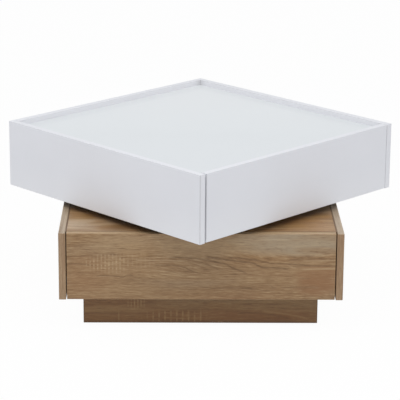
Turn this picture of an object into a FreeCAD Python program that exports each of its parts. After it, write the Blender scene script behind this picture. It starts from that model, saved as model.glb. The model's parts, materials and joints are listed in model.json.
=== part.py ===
import FreeCAD, Part
import math
import os
from collections import namedtuple

# Swivel coffee table: a white box with a tray top turns on an oak box that stands on a set-back plinth.
# Each box holds one drawer on roller runners, and a flat ball bearing joins the two boxes.
# Millimetres, +Z up. The origin is on the floor under the swivel axis; the lower drawer opens towards -Y.

# Boxes
BOX_WIDTH = 600.0
BOX_DEPTH = 600.0
UPPER_HEIGHT = 147.0
LOWER_HEIGHT = 147.0
BOARD = 15.0
EDGE_RADIUS = 1.0
TRAY_RECESS = 11.0
REST_ANGLE = 44.3

# Drawer fronts, which stand between the side boards and are pulled by their lower edge
FRONT_SIDE_GAP = 2.0
FRONT_REAR_GAP = 1.0
FRONT_FOOT_GAP = 1.0
FINGER_GAP = 25.0
UPPER_FRONT_SHIFT = FRONT_SIDE_GAP / 2

# Plinth and floor glides
PLINTH_HEIGHT = 70.0
PLINTH_INSET = 49.0
BLOCK_SIZE = 30.0
BLOCK_HEIGHT = 50.0
GLIDE_RADIUS = 10.0
GLIDE_HEIGHT = 3.0
GLIDE_BEVEL = 1.0
GLIDE_PIN_RADIUS = 2.0
GLIDE_PIN_LENGTH = 14.0

# Drawer boxes
DRAWER_BOARD = 12.0
DRAWER_PANEL = 3.0
DRAWER_LIFT = 10.0
DRAWER_HEADROOM = 12.0
DRAWER_REAR_SPACE = 70.0
DRAWER_TRAVEL = 350.0
GROOVE_RISE = 8.0
GROOVE_DEPTH = 6.0
GROOVE_PLAY = 0.1

# Roller runners, one channel on each side board and one rail on each drawer side
RUNNER_SPACE = 12.5
RUNNER_SHEET = 1.2
RUNNER_BEND = 0.6
RUNNER_SETBACK = 4.0
CHANNEL_HEIGHT = 24.0
CHANNEL_TIP_GAP = 0.8
CHANNEL_TAB = 34.0
RAIL_TIP_GAP = 2.2
RAIL_OVER_CHANNEL = 1.3
ROLLER_WALL_GAP = 4.0
ROLLER_WIDTH = 6.0
ROLLER_BEVEL = 0.8
ROLLER_SETBACK = 16.0
ROLLER_PLAY = 0.3
ROLLER_SIDE_PLAY = 0.2
REAR_ROLLER_HEADROOM = 1.3
AXLE_RADIUS = 3.0
AXLE_HEAD_RADIUS = 4.4
AXLE_HEAD_HEIGHT = 0.9
AXLE_HEAD_CLEARANCE = 0.4
AXLE_CLEARANCE = 0.05
STOP_HEIGHT = 4.0
STOP_LENGTH = 2.0
STOP_GAP = 0.5

# Swivel bearing
PLATE_SIZE = 300.0
PLATE_CORNER = 20.0
PLATE_SHEET = 2.0
PLATE_HOLE_INSET = 18.0
PLATE_HOLE_RADIUS = 2.5
RACE_RADIUS = 105.0
RACE_STANDOFF = 0.85
RACE_LAND = 8.0
RACE_RAMP = 6.0
LAND_GAP = 2.0
BALL_RADIUS = 5.0
BALL_PLAY = 0.15
BALL_COUNT = 16
CAGE_PLAY = 0.4
CAGE_RIM = 4.0
HUB_RADIUS = 25.0
HUB_WALL = 2.0
HUB_LIP = 6.0
HUB_CLEARANCE = 0.08
HUB_LIP_PLAY = 0.2

# Fasteners
FIT = 0.05
HOLE_END = 0.5
CAM_INSET = 85.0
DOWEL_INSET = 140.0
BACK_DOWEL_SPREAD = 70.0
DOWEL_RADIUS = 4.0
DOWEL_IN_SIDE = 10.0
DOWEL_IN_BOARD = 20.0
BOLT_THREAD_RADIUS = 2.5
BOLT_THREAD_LENGTH = 10.0
BOLT_SHANK_RADIUS = 3.0
BOLT_NECK_RADIUS = 1.8
BOLT_NECK_LENGTH = 4.0
BOLT_HEAD_LENGTH = 3.0
BOLT_BORE_RADIUS = 3.6
DRAWER_FITTING_INSET = 14.0

CamSize = namedtuple("CamSize", "radius depth backset")
CARCASS_CAM = CamSize(radius=7.4, depth=12.0, backset=24.0)
DRAWER_CAM = CamSize(radius=5.9, depth=10.5, backset=24.0)

ScrewSize = namedtuple("ScrewSize", "head_radius head_height shank_radius length")
RUNNER_SCREW = ScrewSize(head_radius=3.5, head_height=2.0, shank_radius=1.75, length=13.0)
RAIL_SCREW = ScrewSize(head_radius=3.0, head_height=1.8, shank_radius=1.5, length=13.0)
PLATE_SCREW = ScrewSize(head_radius=4.0, head_height=2.4, shank_radius=2.0, length=13.0)
DRAWER_SCREW = ScrewSize(head_radius=3.6, head_height=2.2, shank_radius=1.9, length=40.0)
PLINTH_SCREW = ScrewSize(head_radius=4.5, head_height=2.8, shank_radius=2.4, length=45.0)
RAIL_SCREW_INSET = 3.5
RUNNER_SCREW_END = 60.0
PLINTH_SCREW_INSET = 100.0

# Derived plan positions, with the front of each box towards -Y
INNER = BOX_WIDTH / 2 - BOARD
FRONT = -BOX_DEPTH / 2
FRONT_REAR = FRONT + BOARD
BACK = BOX_DEPTH / 2
BACK_INNER = BACK - BOARD
TOP_FRONT = FRONT_REAR + FRONT_REAR_GAP
BOTTOM_FRONT = TOP_FRONT + FINGER_GAP
DRAWER_OUTER = INNER - RUNNER_SPACE
DRAWER_INNER = DRAWER_OUTER - DRAWER_BOARD
DRAWER_END = BACK_INNER - DRAWER_REAR_SPACE
PLINTH_X = BOX_WIDTH / 2 - PLINTH_INSET
PLINTH_Y = BOX_DEPTH / 2 - PLINTH_INSET

# Derived levels
SWIVEL_HEIGHT = 2 * (BALL_RADIUS + BALL_PLAY + PLATE_SHEET + RACE_STANDOFF)
LOWER_BOTTOM = GLIDE_HEIGHT + PLINTH_HEIGHT
LOWER_TOP = LOWER_BOTTOM + LOWER_HEIGHT
UPPER_BOTTOM = LOWER_TOP + SWIVEL_HEIGHT
UPPER_TOP = UPPER_BOTTOM + UPPER_HEIGHT
LOWEST_INTERIOR = min(LOWER_HEIGHT, UPPER_HEIGHT - TRAY_RECESS) - 2 * BOARD
DRAWER_HEIGHT = LOWEST_INTERIOR - DRAWER_LIFT - DRAWER_HEADROOM

# Derived runner sizes, heights from the drawer's lower edge and reach from the side board
RUNNER_START = FRONT_REAR + RUNNER_SETBACK
RUNNER_END = DRAWER_END - RUNNER_SETBACK
RAIL_UNDER = CHANNEL_HEIGHT + RAIL_OVER_CHANNEL
FRONT_ROLLER_RADIUS = (RAIL_UNDER - ROLLER_PLAY) / 2 - ROLLER_PLAY
FRONT_ROLLER_RISE = RAIL_UNDER - ROLLER_PLAY - FRONT_ROLLER_RADIUS
CHANNEL_ROOM = CHANNEL_HEIGHT - 2 * RUNNER_SHEET
REAR_ROLLER_RADIUS = (CHANNEL_ROOM - ROLLER_PLAY - REAR_ROLLER_HEADROOM) / 2
REAR_ROLLER_RISE = RUNNER_SHEET + ROLLER_PLAY + REAR_ROLLER_RADIUS
RAIL_WEB = RUNNER_SPACE - RUNNER_SHEET
CHANNEL_REACH = RAIL_WEB - CHANNEL_TIP_GAP
ROLLER_END = ROLLER_WALL_GAP + ROLLER_WIDTH
FRONT_ROLLER_Y = RUNNER_START + ROLLER_SETBACK
REAR_ROLLER_Y = RUNNER_END - ROLLER_SETBACK
RAIL_TOP = RAIL_UNDER + RUNNER_SHEET

ORIGIN = FreeCAD.Vector(0, 0, 0)
X = FreeCAD.Vector(1, 0, 0)
Y = FreeCAD.Vector(0, 1, 0)
Z = FreeCAD.Vector(0, 0, 1)


def at(x, y, z):
    return FreeCAD.Vector(x, y, z)


def group(shapes):
    """Separate solids of one kind in one node."""
    return Part.makeCompound(shapes)


def mirrored(shape):
    """The right-hand twin of a left-hand shape."""
    return shape.mirror(ORIGIN, X)


def both_sides(shapes):
    return shapes + [mirrored(shape) for shape in shapes]


def drilled(solid, tools):
    return solid.cut(tools).Solids[0]


def joined(solid, additions):
    return solid.fuse(additions).removeSplitter().Solids[0]


def board(x_span, y_span, z_span):
    """Board with lightly rounded edges."""
    lows = at(x_span[0], y_span[0], z_span[0])
    sizes = [span[1] - span[0] for span in (x_span, y_span, z_span)]
    box = Part.makeBox(sizes[0], sizes[1], sizes[2], lows)
    radius = min(EDGE_RADIUS, min(sizes) / 3)
    return box.makeFillet(radius, box.Edges)


def rod(start, direction, radius, length):
    return Part.makeCylinder(radius, length, start, direction)


def turned(start, direction, steps):
    """Turned piece: each step gives its first radius, last radius and length along the axis."""
    points = [at(0, 0, 0)]
    height = 0.0
    for first_radius, last_radius, length in steps:
        points.append(at(first_radius, 0, height))
        height += length
        points.append(at(last_radius, 0, height))
    points.append(at(0, 0, height))
    points.append(points[0])
    solid = Part.Face(Part.makePolygon(points)).revolve(ORIGIN, Z, 360)
    solid.Placement = FreeCAD.Placement(start, FreeCAD.Rotation(Z, direction))
    return solid


def pan_screw(seat, direction, size):
    """Screw whose flat head stands on the seat and whose shank runs along the direction."""
    head = (size.head_radius, size.head_radius, size.head_height)
    shank = (size.shank_radius, size.shank_radius, size.length)
    return turned(seat - direction * size.head_height, direction, [head, shank])


def pan_screw_hole(seat, direction, size):
    return rod(seat, direction, size.shank_radius + FIT, size.length + HOLE_END)


def flush_screw(face, direction, size, clearance=0.0, spare=0.0):
    """Countersunk screw with its head level with the face; with clearance it is the hole for one."""
    head = (size.head_radius + clearance, size.shank_radius + clearance, size.head_height)
    shank = (size.shank_radius + clearance, size.shank_radius + clearance, size.length - size.head_height + spare)
    return turned(face, direction, [head, shank])


def flush_screw_hole(face, direction, size):
    return flush_screw(face, direction, size, FIT, HOLE_END)


def cam_joint(corner, along, face, thickness, size):
    """Bolt, lock and bores of a cam fitting.

    The corner is where the bolt crosses the joint, halfway through the board that holds the lock. The bolt
    runs along into that board, and the lock opens on the side that face points to.
    """
    lock_floor = corner + along * size.backset + face * (thickness / 2 - size.depth)
    shank_length = size.backset - BOLT_NECK_LENGTH
    bolt = turned(
        corner - along * BOLT_THREAD_LENGTH,
        along,
        [
            (BOLT_THREAD_RADIUS, BOLT_THREAD_RADIUS, BOLT_THREAD_LENGTH),
            (BOLT_SHANK_RADIUS, BOLT_SHANK_RADIUS, shank_length),
            (BOLT_NECK_RADIUS, BOLT_NECK_RADIUS, BOLT_NECK_LENGTH),
            (BOLT_SHANK_RADIUS, BOLT_SHANK_RADIUS, BOLT_HEAD_LENGTH),
        ],
    )
    pocket = rod(corner, along, BOLT_BORE_RADIUS, size.backset + BOLT_HEAD_LENGTH + HOLE_END)
    lock = drilled(rod(lock_floor, face, size.radius, size.depth), [pocket])
    thread_start = corner - along * (BOLT_THREAD_LENGTH + HOLE_END)
    thread_hole = rod(thread_start, along, BOLT_THREAD_RADIUS + FIT, BOLT_THREAD_LENGTH + HOLE_END)
    lock_bore = rod(lock_floor, face, size.radius + FIT, size.depth)
    edge_bore = rod(corner, along, BOLT_BORE_RADIUS, size.backset)
    return bolt, lock, thread_hole, [lock_bore, edge_bore]


def dowel_joint(corner, along):
    """Dowel across a joint, and the hole for it in both boards."""
    start = corner - along * DOWEL_IN_SIDE
    length = DOWEL_IN_SIDE + DOWEL_IN_BOARD
    dowel = rod(start, along, DOWEL_RADIUS, length)
    hole = rod(start - along * HOLE_END, along, DOWEL_RADIUS + FIT, length + 2 * HOLE_END)
    return dowel, hole


def runner_screw_seats(level):
    """Where the screws of the left channel sit on its web."""
    reach = -INNER + RUNNER_SHEET
    height = level + CHANNEL_HEIGHT / 2
    middle = (RUNNER_START + CHANNEL_TAB + RUNNER_END) / 2
    first = RUNNER_START + RUNNER_SCREW_END
    last = RUNNER_END - RUNNER_SCREW_END
    return [at(reach, y, height) for y in (first, middle, last)]


def carcass(bottom, top, deck):
    """Boards and hidden fittings of one box; deck is the upper face of its top board."""
    side = board((-BOX_WIDTH / 2, -INNER), (FRONT, BACK), (bottom, top))
    boards = {
        "deck": board((-INNER, INNER), (TOP_FRONT, BACK_INNER), (deck - BOARD, deck)),
        "floor": board((-INNER, INNER), (BOTTOM_FRONT, BACK_INNER), (bottom, bottom + BOARD)),
        "back": board((-INNER, INNER), (BACK_INNER, BACK), (bottom, top)),
    }
    deck_level = deck - BOARD / 2
    floor_level = bottom + BOARD / 2
    middle = (bottom + top) / 2
    back_line = BACK - BOARD / 2
    cams = [("back", at(-INNER, back_line, middle), -Y)]
    dowels = []
    for end in (-1, 1):
        cam_y = end * (BOX_DEPTH / 2 - CAM_INSET)
        dowel_y = end * (BOX_DEPTH / 2 - DOWEL_INSET)
        cams.append(("deck", at(-INNER, cam_y, deck_level), -Z))
        cams.append(("floor", at(-INNER, cam_y, floor_level), Z))
        dowels.append(("deck", at(-INNER, dowel_y, deck_level)))
        dowels.append(("floor", at(-INNER, dowel_y, floor_level)))
        dowels.append(("back", at(-INNER, back_line, middle + end * BACK_DOWEL_SPREAD / 2)))
    bores = {name: [] for name in boards}
    side_holes = [pan_screw_hole(seat, -X, RUNNER_SCREW) for seat in runner_screw_seats(drawer_level(bottom))]
    bolts = []
    locks = []
    pins = []
    for name, corner, face in cams:
        bolt, lock, thread_hole, board_bores = cam_joint(corner, X, face, BOARD, CARCASS_CAM)
        bolts.append(bolt)
        locks.append(lock)
        side_holes.append(thread_hole)
        bores[name] += board_bores
    for name, corner in dowels:
        pin, hole = dowel_joint(corner, X)
        pins.append(pin)
        side_holes.append(hole)
        bores[name].append(hole)
    drilled_side = drilled(side, side_holes)
    return {
        "left_side": drilled_side,
        "right_side": mirrored(drilled_side),
        "deck": drilled(boards["deck"], both_sides(bores["deck"])),
        "floor": drilled(boards["floor"], both_sides(bores["floor"])),
        "back": drilled(boards["back"], both_sides(bores["back"])),
        "cam_bolts": group(both_sides(bolts)),
        "cam_locks": group(both_sides(locks)),
        "dowels": group(both_sides(pins)),
    }


def drawer_level(bottom):
    """Lower edge of the drawer sides in a box whose boards start at bottom."""
    return bottom + BOARD + DRAWER_LIFT


def sheet_profile(points, level):
    """Long bent sheet of the left runner: points give reach from the side board and height, in order."""
    corners = [at(-INNER + reach, 0, level + height) for reach, height in points]
    return Part.Face(Part.makePolygon(corners + corners[:1]))


def bent(solid, level, inside, outside):
    """Rounds the inner and outer bends of a sheet, named by reach and height."""
    for bends, radius in ((inside, RUNNER_BEND), (outside, RUNNER_BEND + RUNNER_SHEET)):
        spots = [at(-INNER + reach, 0, level + height) for reach, height in bends]
        edges = [edge for edge in solid.Edges if is_bend(edge, spots)]
        solid = solid.makeFillet(radius, edges)
    return solid


def is_bend(edge, spots):
    first, last = edge.Vertexes[0].Point, edge.Vertexes[-1].Point
    along_y = math.hypot(first.x - last.x, first.z - last.z) < FIT and abs(first.y - last.y) > RUNNER_SHEET
    return along_y and any(math.hypot(first.x - spot.x, first.z - spot.z) < FIT for spot in spots)


def roller_axle(wall, direction, y, height, reach):
    """Shouldered pin with a head that sits in the roller's recess."""
    shoulder = reach - ROLLER_SIDE_PLAY
    pin = ROLLER_WIDTH - AXLE_HEAD_HEIGHT
    steps = [
        (AXLE_HEAD_RADIUS, AXLE_HEAD_RADIUS, shoulder),
        (AXLE_RADIUS, AXLE_RADIUS, pin),
        (AXLE_HEAD_RADIUS, AXLE_HEAD_RADIUS, AXLE_HEAD_HEIGHT),
    ]
    return turned(at(wall, y, height), direction, steps)


def roller(start, direction, radius):
    """Plastic roller with a bore for its pin and a recess for the pin's head at the far face."""
    body = turned(
        start,
        direction,
        [
            (radius - ROLLER_BEVEL, radius, ROLLER_BEVEL),
            (radius, radius, ROLLER_WIDTH - 2 * ROLLER_BEVEL),
            (radius, radius - ROLLER_BEVEL, ROLLER_BEVEL),
        ],
    )
    recess_depth = AXLE_HEAD_HEIGHT + 2 * ROLLER_SIDE_PLAY
    recess_start = start + direction * (ROLLER_WIDTH - recess_depth)
    bore = rod(start, direction, AXLE_RADIUS + AXLE_CLEARANCE, ROLLER_WIDTH)
    recess = rod(recess_start, direction, AXLE_HEAD_RADIUS + AXLE_HEAD_CLEARANCE, recess_depth)
    return drilled(body, [bore, recess])


def channel(level):
    """Left runner channel with its front roller pin and the stop for the drawer's rear roller."""
    sheet = RUNNER_SHEET
    reach = CHANNEL_REACH
    top = CHANNEL_HEIGHT
    outline = [
        (0, 0), (reach, 0), (reach, sheet), (sheet, sheet),
        (sheet, top - sheet), (reach, top - sheet), (reach, top), (0, top),
    ]
    flanged_start = RUNNER_START + CHANNEL_TAB
    profile = sheet_profile(outline, level)
    profile.translate(Y * flanged_start)
    flanged = profile.extrude(Y * (RUNNER_END - flanged_start))
    inside = [(sheet, sheet), (sheet, top - sheet)]
    flanged = bent(flanged, level, inside, [(0, 0), (0, top)])
    bend = RUNNER_BEND + RUNNER_SHEET
    tab = Part.makeBox(sheet, CHANNEL_TAB, top - 2 * bend, at(-INNER, RUNNER_START, level + bend))
    pin_wall = -INNER + sheet
    pin = roller_axle(pin_wall, X, FRONT_ROLLER_Y, level + FRONT_ROLLER_RISE, ROLLER_WALL_GAP - sheet)
    stop_rise = STOP_HEIGHT - ROLLER_PLAY
    stop_chord = math.sqrt(max(0.0, REAR_ROLLER_RADIUS**2 - (REAR_ROLLER_RADIUS - stop_rise) ** 2))
    stop_y = REAR_ROLLER_Y - DRAWER_TRAVEL - stop_chord - STOP_GAP - STOP_LENGTH
    stop_start = sheet + RUNNER_BEND
    stop = Part.makeBox(
        reach - stop_start, STOP_LENGTH, STOP_HEIGHT, at(-INNER + stop_start, stop_y, level + sheet)
    )
    rail = joined(flanged, [tab, pin, stop])
    holes = [rod(seat - X * sheet, X, RUNNER_SCREW.shank_radius + FIT, sheet) for seat in runner_screw_seats(level)]
    return drilled(rail, holes)


def drawer_rail(level):
    """Left drawer rail: it wraps under the drawer side and runs over the channel on the front roller."""
    sheet = RUNNER_SHEET
    face = RUNNER_SPACE
    under = RUNNER_SPACE + DRAWER_BOARD
    outline = [
        (under, -sheet), (RAIL_WEB, -sheet), (RAIL_WEB, RAIL_UNDER), (RAIL_TIP_GAP, RAIL_UNDER),
        (RAIL_TIP_GAP, RAIL_TOP), (face, RAIL_TOP), (face, 0), (under, 0),
    ]
    profile = sheet_profile(outline, level)
    profile.translate(Y * RUNNER_START)
    rail = profile.extrude(Y * (RUNNER_END - RUNNER_START))
    rail = bent(rail, level, [(RAIL_WEB, RAIL_UNDER)], [(RAIL_WEB, -sheet), (face, RAIL_TOP)])
    pin_wall = -INNER + RAIL_WEB
    pin = roller_axle(pin_wall, -X, REAR_ROLLER_Y, level + REAR_ROLLER_RISE, RAIL_WEB - ROLLER_END)
    holes = [
        rod(seat, Z, RAIL_SCREW.shank_radius + FIT, sheet) for seat in rail_screw_seats(level)
    ]
    return drilled(joined(rail, [pin]), holes)


def rail_screw_seats(level):
    """Where the screws of the left drawer rail sit under its lower flange."""
    reach = -DRAWER_OUTER + RAIL_SCREW_INSET
    ends = (RUNNER_START + RUNNER_SCREW_END, RUNNER_END - RUNNER_SCREW_END)
    return [at(reach, y, level - RUNNER_SHEET) for y in ends]


def runners(level):
    """Channels, their screws and front rollers on the side boards of one box."""
    rail = channel(level)
    screws = [pan_screw(seat, -X, RUNNER_SCREW) for seat in runner_screw_seats(level)]
    start = at(-INNER + ROLLER_WALL_GAP, FRONT_ROLLER_Y, level + FRONT_ROLLER_RISE)
    return {
        "left_runner": rail,
        "right_runner": mirrored(rail),
        "runner_screws": group(both_sides(screws)),
        "runner_rollers": group(both_sides([roller(start, X, FRONT_ROLLER_RADIUS)])),
    }


def drawer(bottom, top, front_shift=0.0):
    """One drawer: front, box, rails, rear rollers and fasteners.

    The shift moves the front to the right of the middle, so its end gaps are uneven.
    """
    level = drawer_level(bottom)
    brim = level + DRAWER_HEIGHT
    panel_low = level + GROOVE_RISE
    panel_high = panel_low + DRAWER_PANEL
    groove_low = panel_low - GROOVE_PLAY
    groove_height = DRAWER_PANEL + 2 * GROOVE_PLAY
    groove_half = DRAWER_INNER + GROOVE_DEPTH
    panel_half = groove_half - GROOVE_PLAY
    groove_front = FRONT_REAR - GROOVE_DEPTH

    front_half = INNER - FRONT_SIDE_GAP
    front_span = (front_shift - front_half, front_shift + front_half)
    front = board(front_span, (FRONT, FRONT_REAR), (bottom + FRONT_FOOT_GAP, top))
    side = board((-DRAWER_OUTER, -DRAWER_INNER), (FRONT_REAR, DRAWER_END), (level, brim))
    back_span = (DRAWER_END - DRAWER_BOARD, DRAWER_END)
    back = board((-DRAWER_INNER, DRAWER_INNER), back_span, (panel_high + GROOVE_PLAY, brim))
    panel = board((-panel_half, panel_half), (groove_front + GROOVE_PLAY, DRAWER_END), (panel_low, panel_high))

    groove_length = DRAWER_END - groove_front
    groove = Part.makeBox(2 * groove_half, groove_length, groove_height, at(-groove_half, groove_front, groove_low))
    middle = -(DRAWER_OUTER + DRAWER_INNER) / 2
    fitting_levels = (level + RAIL_TOP + DRAWER_FITTING_INSET, brim - DRAWER_FITTING_INSET)
    back_line = DRAWER_END - DRAWER_BOARD / 2
    bolts = []
    locks = []
    front_holes = []
    screws = []
    side_bores = [groove]
    back_holes = []
    for height in fitting_levels:
        corner = at(middle, FRONT_REAR, height)
        bolt, lock, thread_hole, board_bores = cam_joint(corner, Y, -X, DRAWER_BOARD, DRAWER_CAM)
        bolts.append(bolt)
        locks.append(lock)
        front_holes.append(thread_hole)
        side_bores += board_bores
        screw_face = at(-DRAWER_OUTER, back_line, height)
        hole = flush_screw_hole(screw_face, X, DRAWER_SCREW)
        screws.append(flush_screw(screw_face, X, DRAWER_SCREW))
        side_bores.append(hole)
        back_holes.append(hole)
    for seat in rail_screw_seats(level):
        screws.append(pan_screw(seat, Z, RAIL_SCREW))
        side_bores.append(pan_screw_hole(seat, Z, RAIL_SCREW))

    drilled_side = drilled(side, side_bores)
    rail = drawer_rail(level)
    roller_start = at(-INNER + ROLLER_END, REAR_ROLLER_Y, level + REAR_ROLLER_RISE)
    return {
        "drawer_front": drilled(front, [groove] + both_sides(front_holes)),
        "drawer_left_side": drilled_side,
        "drawer_right_side": mirrored(drilled_side),
        "drawer_back": drilled(back, both_sides(back_holes)),
        "drawer_bottom": panel,
        "drawer_left_rail": rail,
        "drawer_right_rail": mirrored(rail),
        "drawer_cam_bolts": group(both_sides(bolts)),
        "drawer_cam_locks": group(both_sides(locks)),
        "drawer_screws": group(both_sides(screws)),
        "drawer_rollers": group(both_sides([roller(roller_start, -X, REAR_ROLLER_RADIUS)])),
    }


def plinth():
    """Four boards with corner blocks, standing on pinned glides."""
    levels = (GLIDE_HEIGHT, LOWER_BOTTOM)
    inner_x = PLINTH_X - BOARD
    inner_y = PLINTH_Y - BOARD
    boards = {
        "plinth_front": board((-PLINTH_X, PLINTH_X), (-PLINTH_Y, -inner_y), levels),
        "plinth_back": board((-PLINTH_X, PLINTH_X), (inner_y, PLINTH_Y), levels),
        "plinth_left": board((-PLINTH_X, -inner_x), (-inner_y, inner_y), levels),
        "plinth_right": board((inner_x, PLINTH_X), (-inner_y, inner_y), levels),
    }
    screws = []
    holes = []
    for face in plinth_screw_faces():
        screws.append(flush_screw(face, -Z, PLINTH_SCREW))
        holes.append(flush_screw_hole(face, -Z, PLINTH_SCREW))
    nodes = {name: drilled(shape, holes) for name, shape in boards.items()}
    blocks = []
    glides = []
    for side in (-1, 1):
        for end in (-1, 1):
            x = side * (inner_x - BLOCK_SIZE / 2)
            y = end * (inner_y - BLOCK_SIZE / 2)
            low = at(x - BLOCK_SIZE / 2, y - BLOCK_SIZE / 2, GLIDE_HEIGHT)
            block = Part.makeBox(BLOCK_SIZE, BLOCK_SIZE, BLOCK_HEIGHT, low)
            pin_hole = rod(at(x, y, GLIDE_HEIGHT), Z, GLIDE_PIN_RADIUS + FIT, GLIDE_PIN_LENGTH + HOLE_END)
            blocks.append(drilled(block, [pin_hole]))
            glides.append(
                turned(
                    at(x, y, 0),
                    Z,
                    [
                        (GLIDE_RADIUS - GLIDE_BEVEL, GLIDE_RADIUS, GLIDE_BEVEL),
                        (GLIDE_RADIUS, GLIDE_RADIUS, GLIDE_HEIGHT - GLIDE_BEVEL),
                        (GLIDE_PIN_RADIUS, GLIDE_PIN_RADIUS, GLIDE_PIN_LENGTH),
                    ],
                )
            )
    nodes["plinth_corner_blocks"] = group(blocks)
    nodes["plinth_screws"] = group(screws)
    nodes["floor_glides"] = group(glides)
    return nodes


def plinth_screw_faces():
    """Screw heads on the lower box's bottom board, above the middle of each plinth board."""
    top = LOWER_BOTTOM + BOARD
    line_x = PLINTH_X - BOARD / 2
    line_y = PLINTH_Y - BOARD / 2
    along_x = PLINTH_X - PLINTH_SCREW_INSET
    along_y = PLINTH_Y - PLINTH_SCREW_INSET
    faces = []
    for side in (-1, 1):
        for end in (-1, 1):
            faces.append(at(side * along_x, end * line_y, top))
            faces.append(at(side * line_x, end * along_y, top))
    return faces


def swivel_plate():
    """Lower bearing plate on the plane z = 0: a square flange with a raised land and a ball groove."""
    middle = SWIVEL_HEIGHT / 2
    land = middle - LAND_GAP / 2
    groove = BALL_RADIUS + BALL_PLAY
    shell = groove + PLATE_SHEET
    groove_chord = math.sqrt(groove**2 - (middle - land) ** 2)
    shell_chord = math.sqrt(shell**2 - (middle - land + PLATE_SHEET) ** 2)
    ramp_top = RACE_RADIUS + groove + RACE_LAND
    ramp_foot = ramp_top + RACE_RAMP
    hole = HUB_RADIUS + HUB_CLEARANCE
    low = land - PLATE_SHEET
    upper_line = [at(ramp_foot, 0, PLATE_SHEET), at(ramp_top, 0, land), at(RACE_RADIUS + groove_chord, 0, land)]
    groove_floor = at(RACE_RADIUS, 0, middle - groove)
    inner_line = [
        at(RACE_RADIUS - groove_chord, 0, land), at(hole, 0, land),
        at(hole, 0, low), at(RACE_RADIUS - shell_chord, 0, low),
    ]
    shell_floor = at(RACE_RADIUS, 0, middle - shell)
    lower_line = [at(RACE_RADIUS + shell_chord, 0, low), at(ramp_top, 0, low), at(ramp_foot, 0, 0), upper_line[0]]
    edges = [Part.LineSegment(a, b).toShape() for a, b in zip(upper_line, upper_line[1:])]
    edges.append(Part.Arc(upper_line[-1], groove_floor, inner_line[0]).toShape())
    edges += [Part.LineSegment(a, b).toShape() for a, b in zip(inner_line, inner_line[1:])]
    edges.append(Part.Arc(inner_line[-1], shell_floor, lower_line[0]).toShape())
    edges += [Part.LineSegment(a, b).toShape() for a, b in zip(lower_line, lower_line[1:])]
    stamping = Part.Face(Part.Wire(edges)).revolve(ORIGIN, Z, 360)
    half = PLATE_SIZE / 2
    flange = Part.makeBox(PLATE_SIZE, PLATE_SIZE, PLATE_SHEET, at(-half, -half, 0))
    corners = [edge for edge in flange.Edges if abs(edge.Vertexes[0].Z - edge.Vertexes[-1].Z) > FIT]
    flange = flange.makeFillet(PLATE_CORNER, corners)
    holes = [rod(spot, Z, PLATE_HOLE_RADIUS, PLATE_SHEET) for spot in plate_spots(0)]
    flange = drilled(flange, [rod(ORIGIN, Z, ramp_foot, PLATE_SHEET)] + holes)
    return joined(flange, [stamping])


def plate_spots(height):
    half = PLATE_SIZE / 2 - PLATE_HOLE_INSET
    return [at(x, y, height) for x in (-half, half) for y in (-half, half)]


def swivel():
    """Bearing between the boxes, with its upper half turned with the upper box."""
    middle = SWIVEL_HEIGHT / 2
    lower_plate = swivel_plate()
    upper_plate = lower_plate.mirror(at(0, 0, middle), Z)
    lower_screws = [pan_screw(spot, -Z, PLATE_SCREW) for spot in plate_spots(PLATE_SHEET)]
    upper_screws = [pan_screw(spot, Z, PLATE_SCREW) for spot in plate_spots(SWIVEL_HEIGHT - PLATE_SHEET)]

    balls = []
    pockets = []
    for index in range(BALL_COUNT):
        angle = 2 * math.pi * index / BALL_COUNT
        spot = at(RACE_RADIUS * math.cos(angle), RACE_RADIUS * math.sin(angle), middle)
        balls.append(Part.makeSphere(BALL_RADIUS, spot))
        pockets.append(rod(spot - Z * middle, Z, BALL_RADIUS + BALL_PLAY, SWIVEL_HEIGHT))
    cage_height = LAND_GAP - 2 * CAGE_PLAY
    cage_floor = at(0, 0, middle - cage_height / 2)
    cage_half = BALL_RADIUS + CAGE_RIM
    cage = rod(cage_floor, Z, RACE_RADIUS + cage_half, cage_height)
    cage = drilled(cage, [rod(cage_floor, Z, RACE_RADIUS - cage_half, cage_height)] + pockets)

    low = middle - LAND_GAP / 2 - PLATE_SHEET
    lip_under = SWIVEL_HEIGHT - low + HUB_LIP_PLAY
    lip = HUB_RADIUS + HUB_LIP
    hub = turned(
        at(0, 0, low - HUB_WALL),
        Z,
        [
            (lip, lip, HUB_WALL),
            (HUB_RADIUS, HUB_RADIUS, lip_under - low),
            (lip, lip, HUB_WALL),
        ],
    )
    hub = drilled(hub, [rod(ORIGIN, Z, HUB_RADIUS - HUB_WALL, SWIVEL_HEIGHT)])
    nodes = {
        "swivel_lower_plate": lower_plate,
        "swivel_upper_plate": turned_to_rest(upper_plate),
        "swivel_lower_screws": group(lower_screws),
        "swivel_upper_screws": turned_to_rest(group(upper_screws)),
        "swivel_ball_cage": cage,
        "swivel_balls": group(balls),
        "swivel_hub": hub,
    }
    for shape in nodes.values():
        shape.translate(Z * LOWER_TOP)
    return nodes


def turned_to_rest(shape):
    """The shape turned about the swivel axis to the angle at which the upper box is shown."""
    return shape.rotated(ORIGIN, Z, REST_ANGLE)


def lower_box():
    nodes = carcass(LOWER_BOTTOM, LOWER_TOP, LOWER_TOP)
    plate_holes = [pan_screw_hole(spot, -Z, PLATE_SCREW) for spot in plate_spots(LOWER_TOP + PLATE_SHEET)]
    plinth_holes = [flush_screw_hole(face, -Z, PLINTH_SCREW) for face in plinth_screw_faces()]
    nodes["top"] = drilled(nodes.pop("deck"), plate_holes)
    nodes["bottom"] = drilled(nodes.pop("floor"), plinth_holes)
    nodes.update(runners(drawer_level(LOWER_BOTTOM)))
    nodes.update(drawer(LOWER_BOTTOM, LOWER_TOP))
    return {"lower_" + name: shape for name, shape in nodes.items()}


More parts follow.
